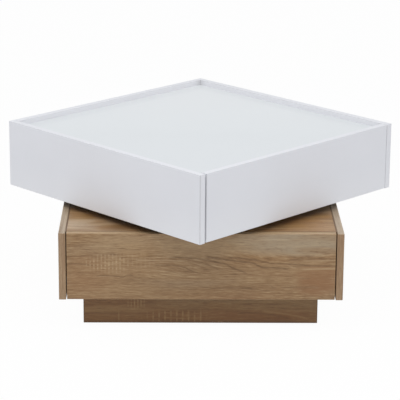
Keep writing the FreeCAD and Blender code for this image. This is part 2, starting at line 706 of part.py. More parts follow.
def upper_box():
    nodes = carcass(UPPER_BOTTOM, UPPER_TOP, UPPER_TOP - TRAY_RECESS)
    plate_holes = [pan_screw_hole(spot, Z, PLATE_SCREW) for spot in plate_spots(UPPER_BOTTOM - PLATE_SHEET)]
    nodes["tray"] = nodes.pop("deck")
    nodes["bottom"] = drilled(nodes.pop("floor"), plate_holes)
    nodes.update(runners(drawer_level(UPPER_BOTTOM)))
    nodes.update(drawer(UPPER_BOTTOM, UPPER_TOP, UPPER_FRONT_SHIFT))
    return {"upper_" + name: turned_to_rest(shape) for name, shape in nodes.items()}


def main():
    os.makedirs("parts", exist_ok=True)
    nodes = {}
    nodes.update(plinth())
    nodes.update(lower_box())
    nodes.update(swivel())
    nodes.update(upper_box())
    for name, shape in nodes.items():
        shape.exportStep("parts/" + name + ".step")


main()
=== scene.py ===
from collections import namedtuple
import json
import math

import bmesh
import bpy
from mathutils import Matrix, Vector

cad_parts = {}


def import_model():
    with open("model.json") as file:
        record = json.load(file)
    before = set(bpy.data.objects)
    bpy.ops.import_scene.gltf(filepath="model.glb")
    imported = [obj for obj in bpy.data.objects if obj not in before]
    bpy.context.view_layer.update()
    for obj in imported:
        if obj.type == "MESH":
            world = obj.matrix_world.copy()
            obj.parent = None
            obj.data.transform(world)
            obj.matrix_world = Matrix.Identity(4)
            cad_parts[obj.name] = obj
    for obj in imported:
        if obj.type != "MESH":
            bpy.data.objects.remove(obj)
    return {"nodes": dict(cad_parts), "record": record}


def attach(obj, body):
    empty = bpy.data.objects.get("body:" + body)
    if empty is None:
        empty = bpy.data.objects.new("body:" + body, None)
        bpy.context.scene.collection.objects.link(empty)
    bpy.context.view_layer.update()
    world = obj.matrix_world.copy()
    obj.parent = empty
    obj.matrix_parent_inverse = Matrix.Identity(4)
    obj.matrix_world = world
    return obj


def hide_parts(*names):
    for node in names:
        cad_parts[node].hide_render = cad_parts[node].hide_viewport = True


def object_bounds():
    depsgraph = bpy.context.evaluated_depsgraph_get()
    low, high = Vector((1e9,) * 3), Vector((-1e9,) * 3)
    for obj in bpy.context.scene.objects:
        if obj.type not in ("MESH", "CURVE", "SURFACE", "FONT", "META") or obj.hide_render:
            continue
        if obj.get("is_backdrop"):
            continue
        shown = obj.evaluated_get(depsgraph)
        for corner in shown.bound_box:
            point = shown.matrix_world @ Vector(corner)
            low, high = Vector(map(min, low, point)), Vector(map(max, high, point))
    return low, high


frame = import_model()
CAD_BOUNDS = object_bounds()
NODES = frame["nodes"]

MM = 0.001
X, Y, Z = range(3)

# Camera, in metres and degrees; yaw is about the swivel axis
CAMERA_TARGET = Vector((0.00059, 0.0, 0.20275))
CAMERA_DISTANCE = 4.3213
CAMERA_PITCH = 16.9346
CAMERA_ROLL = 0.4278
CAMERA_YAW = -0.8141
CAMERA_LENS = 173.30
CAMERA_SENSOR = 36.0
CAMERA_REACH = 50.0

# Turn of the upper box at rest
REST_ANGLE = math.radians(44.3)

# Colours, linear
WHITE = (1.0, 1.0, 1.0, 1.0)
WHITE_BOARD = (0.840, 0.843, 0.884)
# The next ten colours paint light and shade onto the white boards; the band grey is also the edge band's own
PAINTED_LOW_LIGHT = (0.93, 0.931, 0.95)
EDGE_BAND_AND_SHADE_GREY = (0.52, 0.52, 0.53)
PAINTED_CORNER_SHADE = (0.36, 0.37, 0.38)
PAINTED_RIM_LIGHT = (0.925, 0.905, 0.905)
PAINTED_CREST_SHADE = (0.60, 0.61, 0.64)
PAINTED_TRAY_SHADE = (0.898, 0.928, 0.906)
PAINTED_TRAY_FAR_LIGHT = (0.88, 0.893, 0.905)
PAINTED_TRAY_NEAR_SHADE = (0.695, 0.716, 0.738)
PAINTED_RIM_REFLECTION = (0.52, 0.53, 0.55)
PAINTED_UNDERSIDE_SHADE = (0.055, 0.045, 0.036)
OAK_DEEP = (0.120, 0.062, 0.026)
OAK_DARK = (0.205, 0.116, 0.052)
OAK_MID = (0.290, 0.180, 0.090)
OAK_LIGHT = (0.375, 0.255, 0.140)
OAK_PALE = (0.480, 0.355, 0.220)
OAK_GREY = (0.352, 0.288, 0.208)
OAK_AMBER = (0.360, 0.205, 0.080)
OAK_HONEY = (0.275, 0.152, 0.040)
OAK_RED = (0.252, 0.126, 0.054)
OAK_PINK = (0.385, 0.237, 0.136)
OAK_BEIGE = (0.535, 0.437, 0.325)
DRAWER_FOIL = (0.62, 0.62, 0.605)
PANEL_LACQUER = (0.70, 0.70, 0.685)
RAW_BEECH = (0.52, 0.34, 0.185)
EPOXY_WHITE = (0.72, 0.72, 0.70)
ZINC = (0.56, 0.575, 0.60)
POLISHED_STEEL = (0.62, 0.63, 0.65)
NYLON = (0.72, 0.72, 0.68)
DARK_PLASTIC = (0.022, 0.021, 0.020)
WORN_WOOD = (0.40, 0.30, 0.20)
WORN_PLASTIC = (0.10, 0.098, 0.095)
BARE_STEEL = (0.68, 0.69, 0.70)
WORN_NYLON = (0.56, 0.55, 0.51)
DULL_STEEL = (0.36, 0.36, 0.36)
FLOOR = (0.90, 0.90, 0.90, 1.0)

# Middle of a noise, and detail and roughness of a cloudy one
NOISE_MIDDLE = 0.5
CLOUDY = (3.0, 0.6)

# A face looks along an axis when its normal has more than this share along it
FACING = 0.7

# How alike the rounded and the true normal are where the wear of an edge starts, and where it is full
WORN_SPAN = (0.985, 0.80)


class NodeTree:
    """Short ways to add nodes to a tree."""

    def __init__(self, tree):
        self.tree = tree

    def put(self, socket, value):
        if isinstance(value, bpy.types.NodeSocket):
            self.tree.links.new(value, socket)
        else:
            socket.default_value = value

    def fill(self, node, inputs):
        for key, value in inputs.items():
            self.put(node.inputs[key.replace("_", " ")], value)

    def add(self, kind, settings=None, **inputs):
        node = self.tree.nodes.new(kind)
        for key, value in (settings or {}).items():
            setattr(node, key, value)
        self.fill(node, inputs)
        return node

    def math(self, operation, first, second=0.0):
        node = self.add("ShaderNodeMath", {"operation": operation})
        self.put(node.inputs[0], first)
        self.put(node.inputs[1], second)
        return node.outputs[0]

    def seen_directly(self):
        """1 for what the camera sees straight, in gloss or through glass, else 0."""
        path = self.add("ShaderNodeLightPath").outputs
        gloss = self.math("MAXIMUM", path["Is Glossy Ray"], path["Is Transmission Ray"])
        return self.math("MAXIMUM", path["Is Camera Ray"], gloss)

    def mixed(self, factor, first, second):
        """Between two surfaces or two backgrounds."""
        node = self.add("ShaderNodeMixShader")
        for socket, value in zip(node.inputs, (factor, first, second)):
            self.put(socket, value)
        return node.outputs[0]


class Shader(NodeTree):
    """A new material and short ways to add its nodes."""

    def __init__(self, name):
        self.material = bpy.data.materials.new(name)
        self.material.use_nodes = True
        super().__init__(self.material.node_tree)
        self.surface = self.tree.nodes["Principled BSDF"]
        self.colour = None

    def plus(self, first, second):
        return self.math("ADD", first, second)

    def minus(self, first, second):
        return self.math("SUBTRACT", first, second)

    def times(self, first, second):
        return self.math("MULTIPLY", first, second)

    def apart(self, first, second):
        """How far two values are apart."""
        return self.math("ABSOLUTE", self.minus(first, second))

    def vector(self, x, y, z):
        return self.add("ShaderNodeCombineXYZ", X=x, Y=y, Z=z).outputs[0]

    def stretched(self, place, scale):
        """A place with each of its values scaled."""
        return self.vector(*(self.times(value, share) for value, share in zip(place, scale)))

    def place(self, angle=0.0):
        """Object-space x, y and z along axes turned by the angle about Z."""
        place = self.add("ShaderNodeTexCoord").outputs["Object"]
        if angle:
            about = {"rotation_type": "Z_AXIS"}
            place = self.add("ShaderNodeVectorRotate", about, Vector=place, Angle=-angle).outputs[0]
        return self.add("ShaderNodeSeparateXYZ", Vector=place).outputs

    def normal(self):
        """X, y and z of the way the surface looks."""
        geometry = self.add("ShaderNodeNewGeometry").outputs
        return self.add("ShaderNodeSeparateXYZ", Vector=geometry["Normal"]).outputs

    def noise(self, vector, scale=1.0, detail=2.0, roughness=0.5):
        node = self.add("ShaderNodeTexNoise", Vector=vector, Scale=scale, Detail=detail, Roughness=roughness)
        return node.outputs["Fac"]

    def spread(self, value, low, high, to_low=0.0, to_high=1.0, shape="LINEAR"):
        """The value's span from low to high, stretched to another span and clamped."""
        node = self.add("ShaderNodeMapRange", {"clamp": True, "interpolation_type": shape}, Value=value,
                        From_Min=low, From_Max=high, To_Min=to_low, To_Max=to_high)
        return node.outputs[0]

    def blend(self, factor, first, second):
        """Between two numbers."""
        node = self.add("ShaderNodeMix", {"data_type": "FLOAT"})
        self.put(node.inputs[0], factor)
        self.put(node.inputs[2], first)
        self.put(node.inputs[3], second)
        return node.outputs[0]

    def tint(self, factor, first, second, way="MIX"):
        """Between two colours."""
        node = self.add("ShaderNodeMix", {"data_type": "RGBA", "blend_type": way})
        self.put(node.inputs[0], factor)
        for socket, colour in ((node.inputs[6], first), (node.inputs[7], second)):
            self.put(socket, colour if isinstance(colour, bpy.types.NodeSocket) else (*colour, 1.0))
        return node.outputs[2]

    def wash(self, colour, mask, strength=1.0, way="MIX"):
        """Tints the colour so far."""
        self.colour = self.tint(self.times(mask, strength), self.colour, colour, way)

    def ramp(self, value, stops):
        """Colour along a row of (position, colour) stops."""
        node = self.add("ShaderNodeValToRGB", Fac=value)
        elements = node.color_ramp.elements
        while len(elements) < len(stops):
            elements.new(1.0)
        for element, (position, colour) in zip(elements, stops):
            element.position = position
            element.color = (*colour, 1.0)
        return node.outputs[0]

    def worn(self, radius):
        """1 along the edges of a piece and 0 on its flats, for a wear this wide."""
        rounded = self.add("ShaderNodeBevel", Radius=radius).outputs[0]
        flat = self.add("ShaderNodeNewGeometry").outputs["True Normal"]
        alike = self.add("ShaderNodeVectorMath", {"operation": "DOT_PRODUCT"})
        self.put(alike.inputs[0], rounded)
        self.put(alike.inputs[1], flat)
        return self.spread(alike.outputs["Value"], *WORN_SPAN)

    def bump(self, height, strength, distance):
        node = self.add("ShaderNodeBump", Height=height, Strength=strength, Distance=distance)
        self.put(self.surface.inputs["Normal"], node.outputs[0])

    def set(self, **inputs):
        self.fill(self.surface, inputs)


def shown(name, data):
    """New object in the scene."""
    piece = bpy.data.objects.new(name, data)
    bpy.context.scene.collection.objects.link(piece)
    return piece


def dimmed(colour, share):
    return tuple(share * channel for channel in colour)


def spans(points):
    return [(min(values), max(values)) for values in zip(*points)]


def measured(points):
    """Spans, centre and lengths along the axes."""
    box = spans(points)
    return box, Vector([sum(span) / 2 for span in box]), [high - low for low, high in box]


def board_box(name, angle=0.0):
    """Centre and half sizes of a board along its own turned axes."""
    unturn = Matrix.Rotation(-angle, 3, "Z")
    _, centre, lengths = measured([unturn @ vertex.co for vertex in NODES[name].data.vertices])
    return centre, [length / 2 for length in lengths]


def board_depths(shader, place, box):
    """How deep a spot lies under the nearer of a board's two faces across each axis."""
    centre, half = box
    return [shader.minus(half[axis], shader.apart(place[axis], centre[axis])) for axis in (X, Y, Z)]


def edge_distance(shader, depths):
    """How far a spot of a board's surface is from the nearest edge of the board."""
    low = shader.math("MINIMUM", depths[X], depths[Y])
    high = shader.math("MAXIMUM", depths[X], depths[Y])
    return shader.math("MAXIMUM", low, shader.math("MINIMUM", high, depths[Z]))


# Oak decor

# Noises along the grain: scale per metre along and across it, detail, roughness, shift from the board's seed
Grain = namedtuple("Grain", "along across detail roughness shift")
OAK_DRIFT = Grain(3.2, 9.0, 1.0, 0.5, 0.0)
OAK_RIPPLE = Grain(22.0, 70.0, 1.0, 0.5, 0.0)
OAK_BANDS = Grain(3.0, 42.0, 2.0, 0.5, 3.1)
OAK_LINES = Grain(18.0, 410.0, 3.0, 0.62, 7.7)
OAK_DASHES = Grain(52.0, 430.0, 2.0, 0.6, 9.1)
OAK_STREAKS = Grain(8.0, 190.0, 1.0, 0.5, 11.3)
OAK_FIBRE = Grain(24.0, 800.0, 2.0, 0.6, 17.9)
OAK_PORES = Grain(80.0, 1500.0, 1.0, 0.5, 23.3)
OAK_TONES = Grain(2.0, 11.0, 2.0, 0.55, 29.1)
SAW_BREAKS = Grain(60.0, 150.0, 1.0, 0.5, 37.0)
SIDE_FLAMES = Grain(4.0, 210.0, *CLOUDY, 41.0)
TOP_FLAMES = Grain(7.0, 75.0, *CLOUDY, 41.0)

# How far the lines wander, in metres, the share of dashes in them, and what each noise weighs in the shade
DRIFT_REACH = 0.007
RIPPLE_REACH = 0.0006
DASH_SHARE = 0.50
BAND_WEIGHT = 0.26
LINE_WEIGHT = 1.18
FIBRE_WEIGHT = 0.42
SHADE_SPAN = (0.615, 1.225)
SHADE_RAMP = ((0.0, OAK_DEEP), (0.22, OAK_DARK), (0.50, OAK_MID), (0.78, OAK_LIGHT), (1.0, OAK_PALE))

# Masks: two values of a noise, and the strength at each where it isn't 0 and 1
STREAK_MASK = (0.60, 0.76, 0.0, 0.13)
GREY_MASK = (0.52, 0.74, 0.0, 0.45)
RED_MASK = (0.48, 0.26, 0.0, 0.45)
DARK_LINE_MASK = (0.46, 0.30, 0.0, 0.50)
PALE_LINE_MASK = (0.55, 0.72, 0.0, 0.40)
DARK_FLAME_MASK = (0.50, 0.32)
PALE_FLAME_MASK = (0.52, 0.70)
PORE_MASK = (0.60, 0.74)
PORE_STRENGTH = 0.45

# Patches: power of their oval, scale, detail and strength of their uneven edge, and where they end
PATCH_POWER = 2.6
PATCH_SCALE = (14.0, 60.0)
PATCH_DETAIL = 3.0
PATCH_UNEVEN = 1.6
PATCH_MASK = (0.10, 1.35, 1.0, 0.0)

# Sweeps and strokes end softly between two shares of their half width; strokes also at both ends, in metres
SWEEP_SHARES = (0.3, 1.5)
STROKE_SHARES = (0.4, 1.6)
STROKE_FADE = 0.010
STROKE_RAGGED = (0.32, 0.62, 1.15, 0.65)

# Saw marks: half width of a mark and of its crest and the pitch of the rows that break them, in metres
SAW_STROKE = 0.0024
SAW_CREST = 0.0002
SAW_ROW = 0.0074
SAW_BREAK_MASK = (0.40, 0.60, 0.25, 1.0)

# Painted shade in joints and seams, pale worn edges, height of the grain, gloss, bump and the step between
# boards' seeds
JOINT_SHADE_REACH = (0.0010, 0.0026, 1.0, 0.0)
SEAM_SHADE_REACH = (0.0010, 0.0024, 1.0, 0.0)
OAK_WEAR_REACH = (0.0002, 0.0013, 1.0, 0.0)
OAK_WEAR_FIBRE = (0.45, 0.65)
OAK_WEAR = 0.25
FIBRE_HEIGHT = 0.5
PORE_HEIGHT = 0.6
SAW_HEIGHT = 0.5
OAK_GLOSS = (0.2, 0.8, 0.54, 0.38)
OAK_BUMP = (0.30, 0.0003)
SEED_STEP = 5.3

# What single boards show, in millimetres along and across the grain:
# patches: centre, half sizes, colour, strength
# saw: centre, half sizes, pitch of the marks, their strength, how much rows break them
# strokes: colour, half width, strength, places that the line runs through
# sweep: where the lines start and end bending, their drop, middle and half width of the bent lines, and how
# much further along the upper ones bend
# flames: noise of broad light and dark bands, strength
# edges: axis that the faces look along, colour, strength; pale tints on faces looking up are partly edge
# band and partly painted highlight
# joint shade: strength of a dark line of painted shade along the board's edges
# seam shade: how far dark lines of painted shade in the grooves on the top are from the middle across X,
# strength
# shade: factor on the colour, painting light onto the drawer front and top and shade onto the plinth
FRONT_PATCHES = (
    (195, 199, 125, 28, OAK_GREY, 0.80),
    (249, 117, 50, 36, OAK_RED, 0.80),
    # Painted light: the next two patches lighten the front's top middle against the upper box's shade
    (-20, 200, 150, 30, OAK_PALE, 0.30),
    (0, 184, 92, 16, OAK_LIGHT, 0.30),
    (-135, 183, 50, 16, OAK_AMBER, 0.16),
    (0, 96, 260, 18, OAK_DARK, 0.22),
    (115, 162, 75, 22, OAK_AMBER, 0.22),
    (186, 147, 95, 11, OAK_LIGHT, 0.32),
    (-242, 125, 50, 50, OAK_RED, 0.32),
    (240, 185, 45, 7, OAK_MID, 0.45),
    (15, 145, 100, 30, OAK_LIGHT, 0.14),
    (-186, 195, 55, 18, OAK_LIGHT, 0.40),
    (-170, 115, 120, 45, OAK_LIGHT, 0.22),
)
FRONT_SAW = (
    (-198, 154, 44, 22, 7.9, 1.00, 0.75),
    (-140, 160, 45, 18, 9, 0.30, 0.50),
)
FRONT_STROKES = (
    (OAK_DEEP, 1.7, 0.64, (
        (-71, 167.6), (-33, 167.1), (-4, 165.2), (19, 160.8), (45, 154.7), (57, 150.3), (66, 144.8),
        (81, 139.2), (98, 132.6),
    )),
    (OAK_DEEP, 2, 0.70, (
        (5, 170.1), (40, 164.7), (66, 161.4), (89, 158.2), (108, 155.5), (120, 150), (131, 146.5),
        (150, 145.5), (169, 144.4), (186, 141.8),
    )),
    (OAK_DEEP, 1.7, 0.56, (
        (53, 168), (82, 166.6), (103, 163.7), (120, 161.1), (135, 158.1), (152, 155), (179, 154.2),
        (205, 153), (230, 149.7), (292, 150),
    )),
    (OAK_DEEP, 1.5, 0.46, (
        (-103, 149.4), (-79, 150.3), (-50, 149.1), (-37, 146), (-23, 139.4), (-8, 133.9), (3, 127.9),
    )),
    (OAK_DEEP, 1.5, 0.35, ((-8, 159.4), (7, 154.6), (19, 149.5), (43, 136.9))),
    (OAK_DEEP, 1.4, 0.38, ((-79, 139.9), (-63, 136.6), (-48, 132.2))),
    (OAK_DEEP, 1.3, 0.30, ((175, 161.1), (200, 163.4), (230, 165.9), (292, 165))),
    (OAK_DEEP, 1.5, 0.35, ((-8, 105.5), (26, 100), (62, 100.3), (117, 95.8))),
    (OAK_DEEP, 1.7, 0.44, ((140, 109.3), (146, 106), (153, 101.5), (161, 100.4))),
    (OAK_DEEP, 1.5, 0.35, ((-79, 100.2), (-56, 101.8), (-41, 96.9))),
    (OAK_DEEP, 1.5, 0.49, (
        (-223, 123.6), (-208, 126.8), (-174, 125.1), (-166, 123.4), (-155, 127.8), (-138, 123),
    )),
    (OAK_DEEP, 1.4, 0.35, ((-172, 115.8), (-155, 117.4), (-138, 119.9), (-121, 120.4))),
    (OAK_DEEP, 1.4, 0.46, ((-292, 150.5), (-262, 153.1), (-237, 150.5), (-222, 149.4))),
    (OAK_DEEP, 1.4, 0.35, ((-199, 185.4), (-170, 187.7), (-153, 185.1), (-121, 184.7))),
    (OAK_DEEP, 1.3, 0.33, ((-292, 169.5), (-254, 170.6), (-237, 171.1))),
    (OAK_PALE, 1.4, 0.56, ((-142, 161.7), (-107, 160.9), (-69, 161), (-33, 158))),
    (OAK_PALE, 1.5, 0.56, ((207, 142.3), (234, 142.8), (292, 144))),
    (OAK_PALE, 1.3, 0.46, ((211, 160.5), (247, 161.5), (292, 162.4))),
    (OAK_PALE, 1.7, 0.46, ((179, 151.1), (190, 147.4), (201, 142.7))),
    (OAK_PALE, 1.4, 0.35, ((-241, 191), (-211, 192), (-184, 191.2))),
    (OAK_BEIGE, 1.3, 0.34, ((115, 207.1), (145, 207.7), (189, 207.8))),
    (OAK_BEIGE, 1.5, 0.22, ((124, 189.9), (153, 190.9), (187, 191.5))),
    (OAK_DEEP, 1.3, 0.26, ((196, 180.9), (231, 181.4), (280, 178.5))),
    (OAK_DEEP, 1.4, 0.36, ((166, 100.6), (210, 102.1), (250, 101.3))),
    (OAK_DEEP, 1.5, 0.34, ((79, 102.2), (113, 98.7), (134, 93.8), (153, 93.4))),
    (OAK_DEEP, 1.5, 0.30, ((205, 124), (218, 121.8), (235, 124.5))),
    (OAK_PALE, 1.3, 0.34, ((173, 173.7), (208, 175.2), (255, 174.9))),
)
TOP_PATCHES = (
    (-235, -240, 85, 42, OAK_BEIGE, 0.60),
    (-220, -160, 80, 16, OAK_AMBER, 0.60),
    (-130, -245, 60, 18, OAK_AMBER, 0.50),
    (140, -215, 150, 85, OAK_AMBER, 0.60),
    (-215, -211, 14, 12, OAK_AMBER, 0.35),
    (-203, -262, 24, 18, OAK_AMBER, 0.45),
    (-140, -278, 22, 8, OAK_RED, 0.60),
    (262, -255, 34, 26, OAK_PINK, 0.20),
    (213, -247, 12, 14, OAK_AMBER, 0.60),
    (244, -212, 20, 12, OAK_AMBER, 0.55),
    (260, -172, 25, 11, OAK_AMBER, 0.55),
    (141, -269, 16, 12, OAK_RED, 0.45),
    # Painted shadow of the upper box near the slot: the dark, red, honey and deep patches from here on
    (-168, -262, 50, 34, OAK_DARK, 0.55),
    (172, -248, 46, 34, OAK_DARK, 0.45),
    (245, -150, 50, 24, OAK_DARK, 0.40),
    (-190, -236, 55, 36, OAK_RED, 0.25),
    (195, -225, 70, 45, OAK_RED, 0.25),
    (-258, -187, 30, 16, OAK_HONEY, 0.55),
    (-222, -231, 20, 14, OAK_HONEY, 0.30),
    (-190, -251, 30, 16, OAK_HONEY, 0.50),
    (190, -253, 40, 18, OAK_HONEY, 0.45),
    (220, -243, 30, 18, OAK_HONEY, 0.30),
    (262, -176, 24, 14, OAK_HONEY, 0.50),
    (-170, -256, 28, 20, OAK_DEEP, 0.40),
    (158, -255, 28, 20, OAK_DEEP, 0.40),
    (248, -156, 30, 14, OAK_DEEP, 0.30),
)
PLINTH_PATCHES = (
    (-185, 33, 80, 9, OAK_PALE, 0.36),
    (-180, 14, 85, 12, OAK_LIGHT, 0.22),
    (60, 60, 160, 12, OAK_GREY, 0.28),
    (-50, 50, 75, 18, OAK_GREY, 0.22),
    (0, 13, 300, 18, OAK_RED, 0.34),
    (165, 37, 80, 7, OAK_PALE, 0.14),
    (165, 58, 80, 10, OAK_PALE, 0.24),
    (120, 20, 130, 14, OAK_RED, 0.50),
    (165, 28, 50, 4, OAK_LIGHT, 0.25),
    (-175.5, 20, 1.8, 16, OAK_PALE, 0.36),
    (-26.5, 21, 3.2, 13, OAK_PALE, 0.20),
    (0.5, 21, 2, 15, OAK_PALE, 0.34),
    # Painted shadow along the plinth's foot
    (0, 3, 300, 7, OAK_DEEP, 0.75),
)
PLINTH_SAW = (
    (-57.2, 18, 72, 13, 12.7, 0.80, 0.00),
    (-138, 48, 21, 15, 7, 0.80, 0.00),
)
PLINTH_STROKES = (
    (OAK_PALE, 1.7, 0.46, ((128, 31.2), (154, 27.7), (180, 24.1), (206, 19.4), (234, 13))),
    (OAK_PALE, 1.4, 0.30, ((178, 32.4), (215, 31.3), (262, 29.5))),
    (OAK_DEEP, 1.8, 0.32, ((77, 24.7), (107, 26.4), (133, 24.9), (161, 20.4), (193, 13.6))),
    (OAK_DEEP, 1.2, 0.28, ((-262, 25), (-215, 25.8), (-155, 25))),
)
# The plinth's shade factor is painted shade under the overhang; its joint line is a painted contact shadow
PLINTH_LOOK = {"joint": 0.75, "shade": (0.80, 0.650, 0.430)}
SEAM_SHADE = (285, 0.75)
SIDE_LOOK = {
    # The pale tint of the top edges is partly edge band and partly painted highlight
    "edges": ((Z, OAK_BEIGE, 0.78), (Y, OAK_PINK, 0.55)),
    "flames": (SIDE_FLAMES, 0.55),
    "seam": SEAM_SHADE,
}
OAK_LOOKS = {
    "lower_drawer_front": {
        "patches": FRONT_PATCHES,
        "saw": FRONT_SAW,
        "strokes": FRONT_STROKES,
        "sweep": (-90, 160, 22, 152, 34, 3.0),
        # The pale top edge is partly edge band and partly painted highlight
        "edges": ((Z, OAK_PALE, 0.62),),
        # Partly the front's own tone and partly painted light
        "shade": (1.110, 1.058, 0.974),
    },
    "lower_top": {
        "patches": TOP_PATCHES,
        "flames": (TOP_FLAMES, 0.55),
        "joint": 0.85,
        "seam": SEAM_SHADE,
        # Painted light and sheen on the top
        "shade": (1.15, 1.085, 1.0),
    },
    "lower_left_side": SIDE_LOOK,
    "lower_right_side": SIDE_LOOK,
    "plinth_front": {"patches": PLINTH_PATCHES, "saw": PLINTH_SAW, "strokes": PLINTH_STROKES, **PLINTH_LOOK},
    "plinth_back": PLINTH_LOOK,
    "plinth_left": PLINTH_LOOK,
    "plinth_right": PLINTH_LOOK,
    "lower_bottom": {},
    "lower_back": {},
}


def oak_grain_axes(shader, place, half):
    """Along-grain and across-grain coordinates, and masks of the faces across X, Y and Z.

    The grain follows the longer way of each face.
    """
    normal = shader.normal()
    facing = []
    choices = []
    for axis in (X, Y, Z):
        facing.append(shader.math("GREATER_THAN", shader.math("ABSOLUTE", normal[axis]), FACING))
        in_plane = [other for other in (X, Y, Z) if other != axis]
        choices.append(sorted(in_plane, key=lambda other: -half[other]))
    chosen = []
    for ways in zip(*choices):
        side, front, top = (place[way] for way in ways)
        chosen.append(shader.blend(facing[Z], shader.blend(facing[X], front, side), top))
    return chosen, facing


def oak_patch(shader, along, across, spot):
    """Soft oval mask with an uneven edge: its centre and half sizes along and across the grain."""
    centre_along, centre_across, half_along, half_across = (MM * value for value in spot)
    first = shader.times(shader.apart(along, centre_along), 1 / half_along)
    second = shader.times(shader.apart(across, centre_across), 1 / half_across)
    reach = shader.plus(shader.math("POWER", first, PATCH_POWER), shader.math("POWER", second, PATCH_POWER))
    stretched = shader.vector(
        shader.times(along, PATCH_SCALE[0]), shader.times(across, PATCH_SCALE[1]), half_along)
    uneven = shader.minus(shader.noise(stretched, detail=PATCH_DETAIL), NOISE_MIDDLE)
    reach = shader.plus(reach, shader.times(uneven, PATCH_UNEVEN))
    return shader.spread(reach, *PATCH_MASK)


def oak_stroke(shader, along, across, half_width, points):
    """Mask of a thin line through a row of places along and across the grain, fading out at both ends."""
    places, levels = zip(*((MM * place, MM * level) for place, level in points))
    start, end = places[0], places[-1]
    low, high = min(levels), max(levels)
    shares = []
    for place, level in zip(places, levels):
        shares.append(((place - start) / (end - start), (level - low) / (high - low)))
    bend = shader.add("ShaderNodeFloatCurve", Value=shader.spread(along, start, end))
    curve = bend.mapping.curves[0]
    curve.points[0].location = shares[0]
    curve.points[1].location = shares[-1]
    for share in shares[1:-1]:
        curve.points.new(*share)
    bend.mapping.update()
    off = shader.apart(across, shader.spread(bend.outputs[0], 0.0, 1.0, low, high))
    line = shader.spread(off, *(share * MM * half_width for share in STROKE_SHARES), 1.0, 0.0)
    ends = shader.times(shader.spread(along, start, start + STROKE_FADE),
                        shader.spread(along, end - STROKE_FADE, end, 1.0, 0.0))
    return shader.times(line, ends)


def oak_sweep(shader, along, across, sweep):
    """How far the lines drop where they bend."""
    start, end, drop, middle, half_width = (MM * value for value in sweep[:-1])
    later = shader.times(shader.minus(across, middle), sweep[-1])
    bend = shader.spread(shader.minus(along, later), start, end, 0.0, drop, "SMOOTHSTEP")
    ends = (share * half_width for share in SWEEP_SHARES)
    return shader.times(bend, shader.spread(shader.apart(across, middle), *ends, 1.0, 0.0))


def oak_saw(shader, along, across, spot, pitch, rows):
    """Mask of upright marks at a pitch along the grain, broken by rows and inside a soft oval."""
    step = shader.math("PINGPONG", shader.minus(along, MM * spot[0]), pitch / 2)
    stroke = shader.spread(step, pitch / 2 - SAW_STROKE, pitch / 2 - SAW_CREST)
    row = shader.math("PINGPONG", shader.minus(across, MM * spot[1]), SAW_ROW / 2)
    row = shader.spread(row, 0.0, SAW_ROW / 2, 1.0 - rows, 1.0)
    return shader.times(shader.times(stroke, row), oak_patch(shader, along, across, spot))


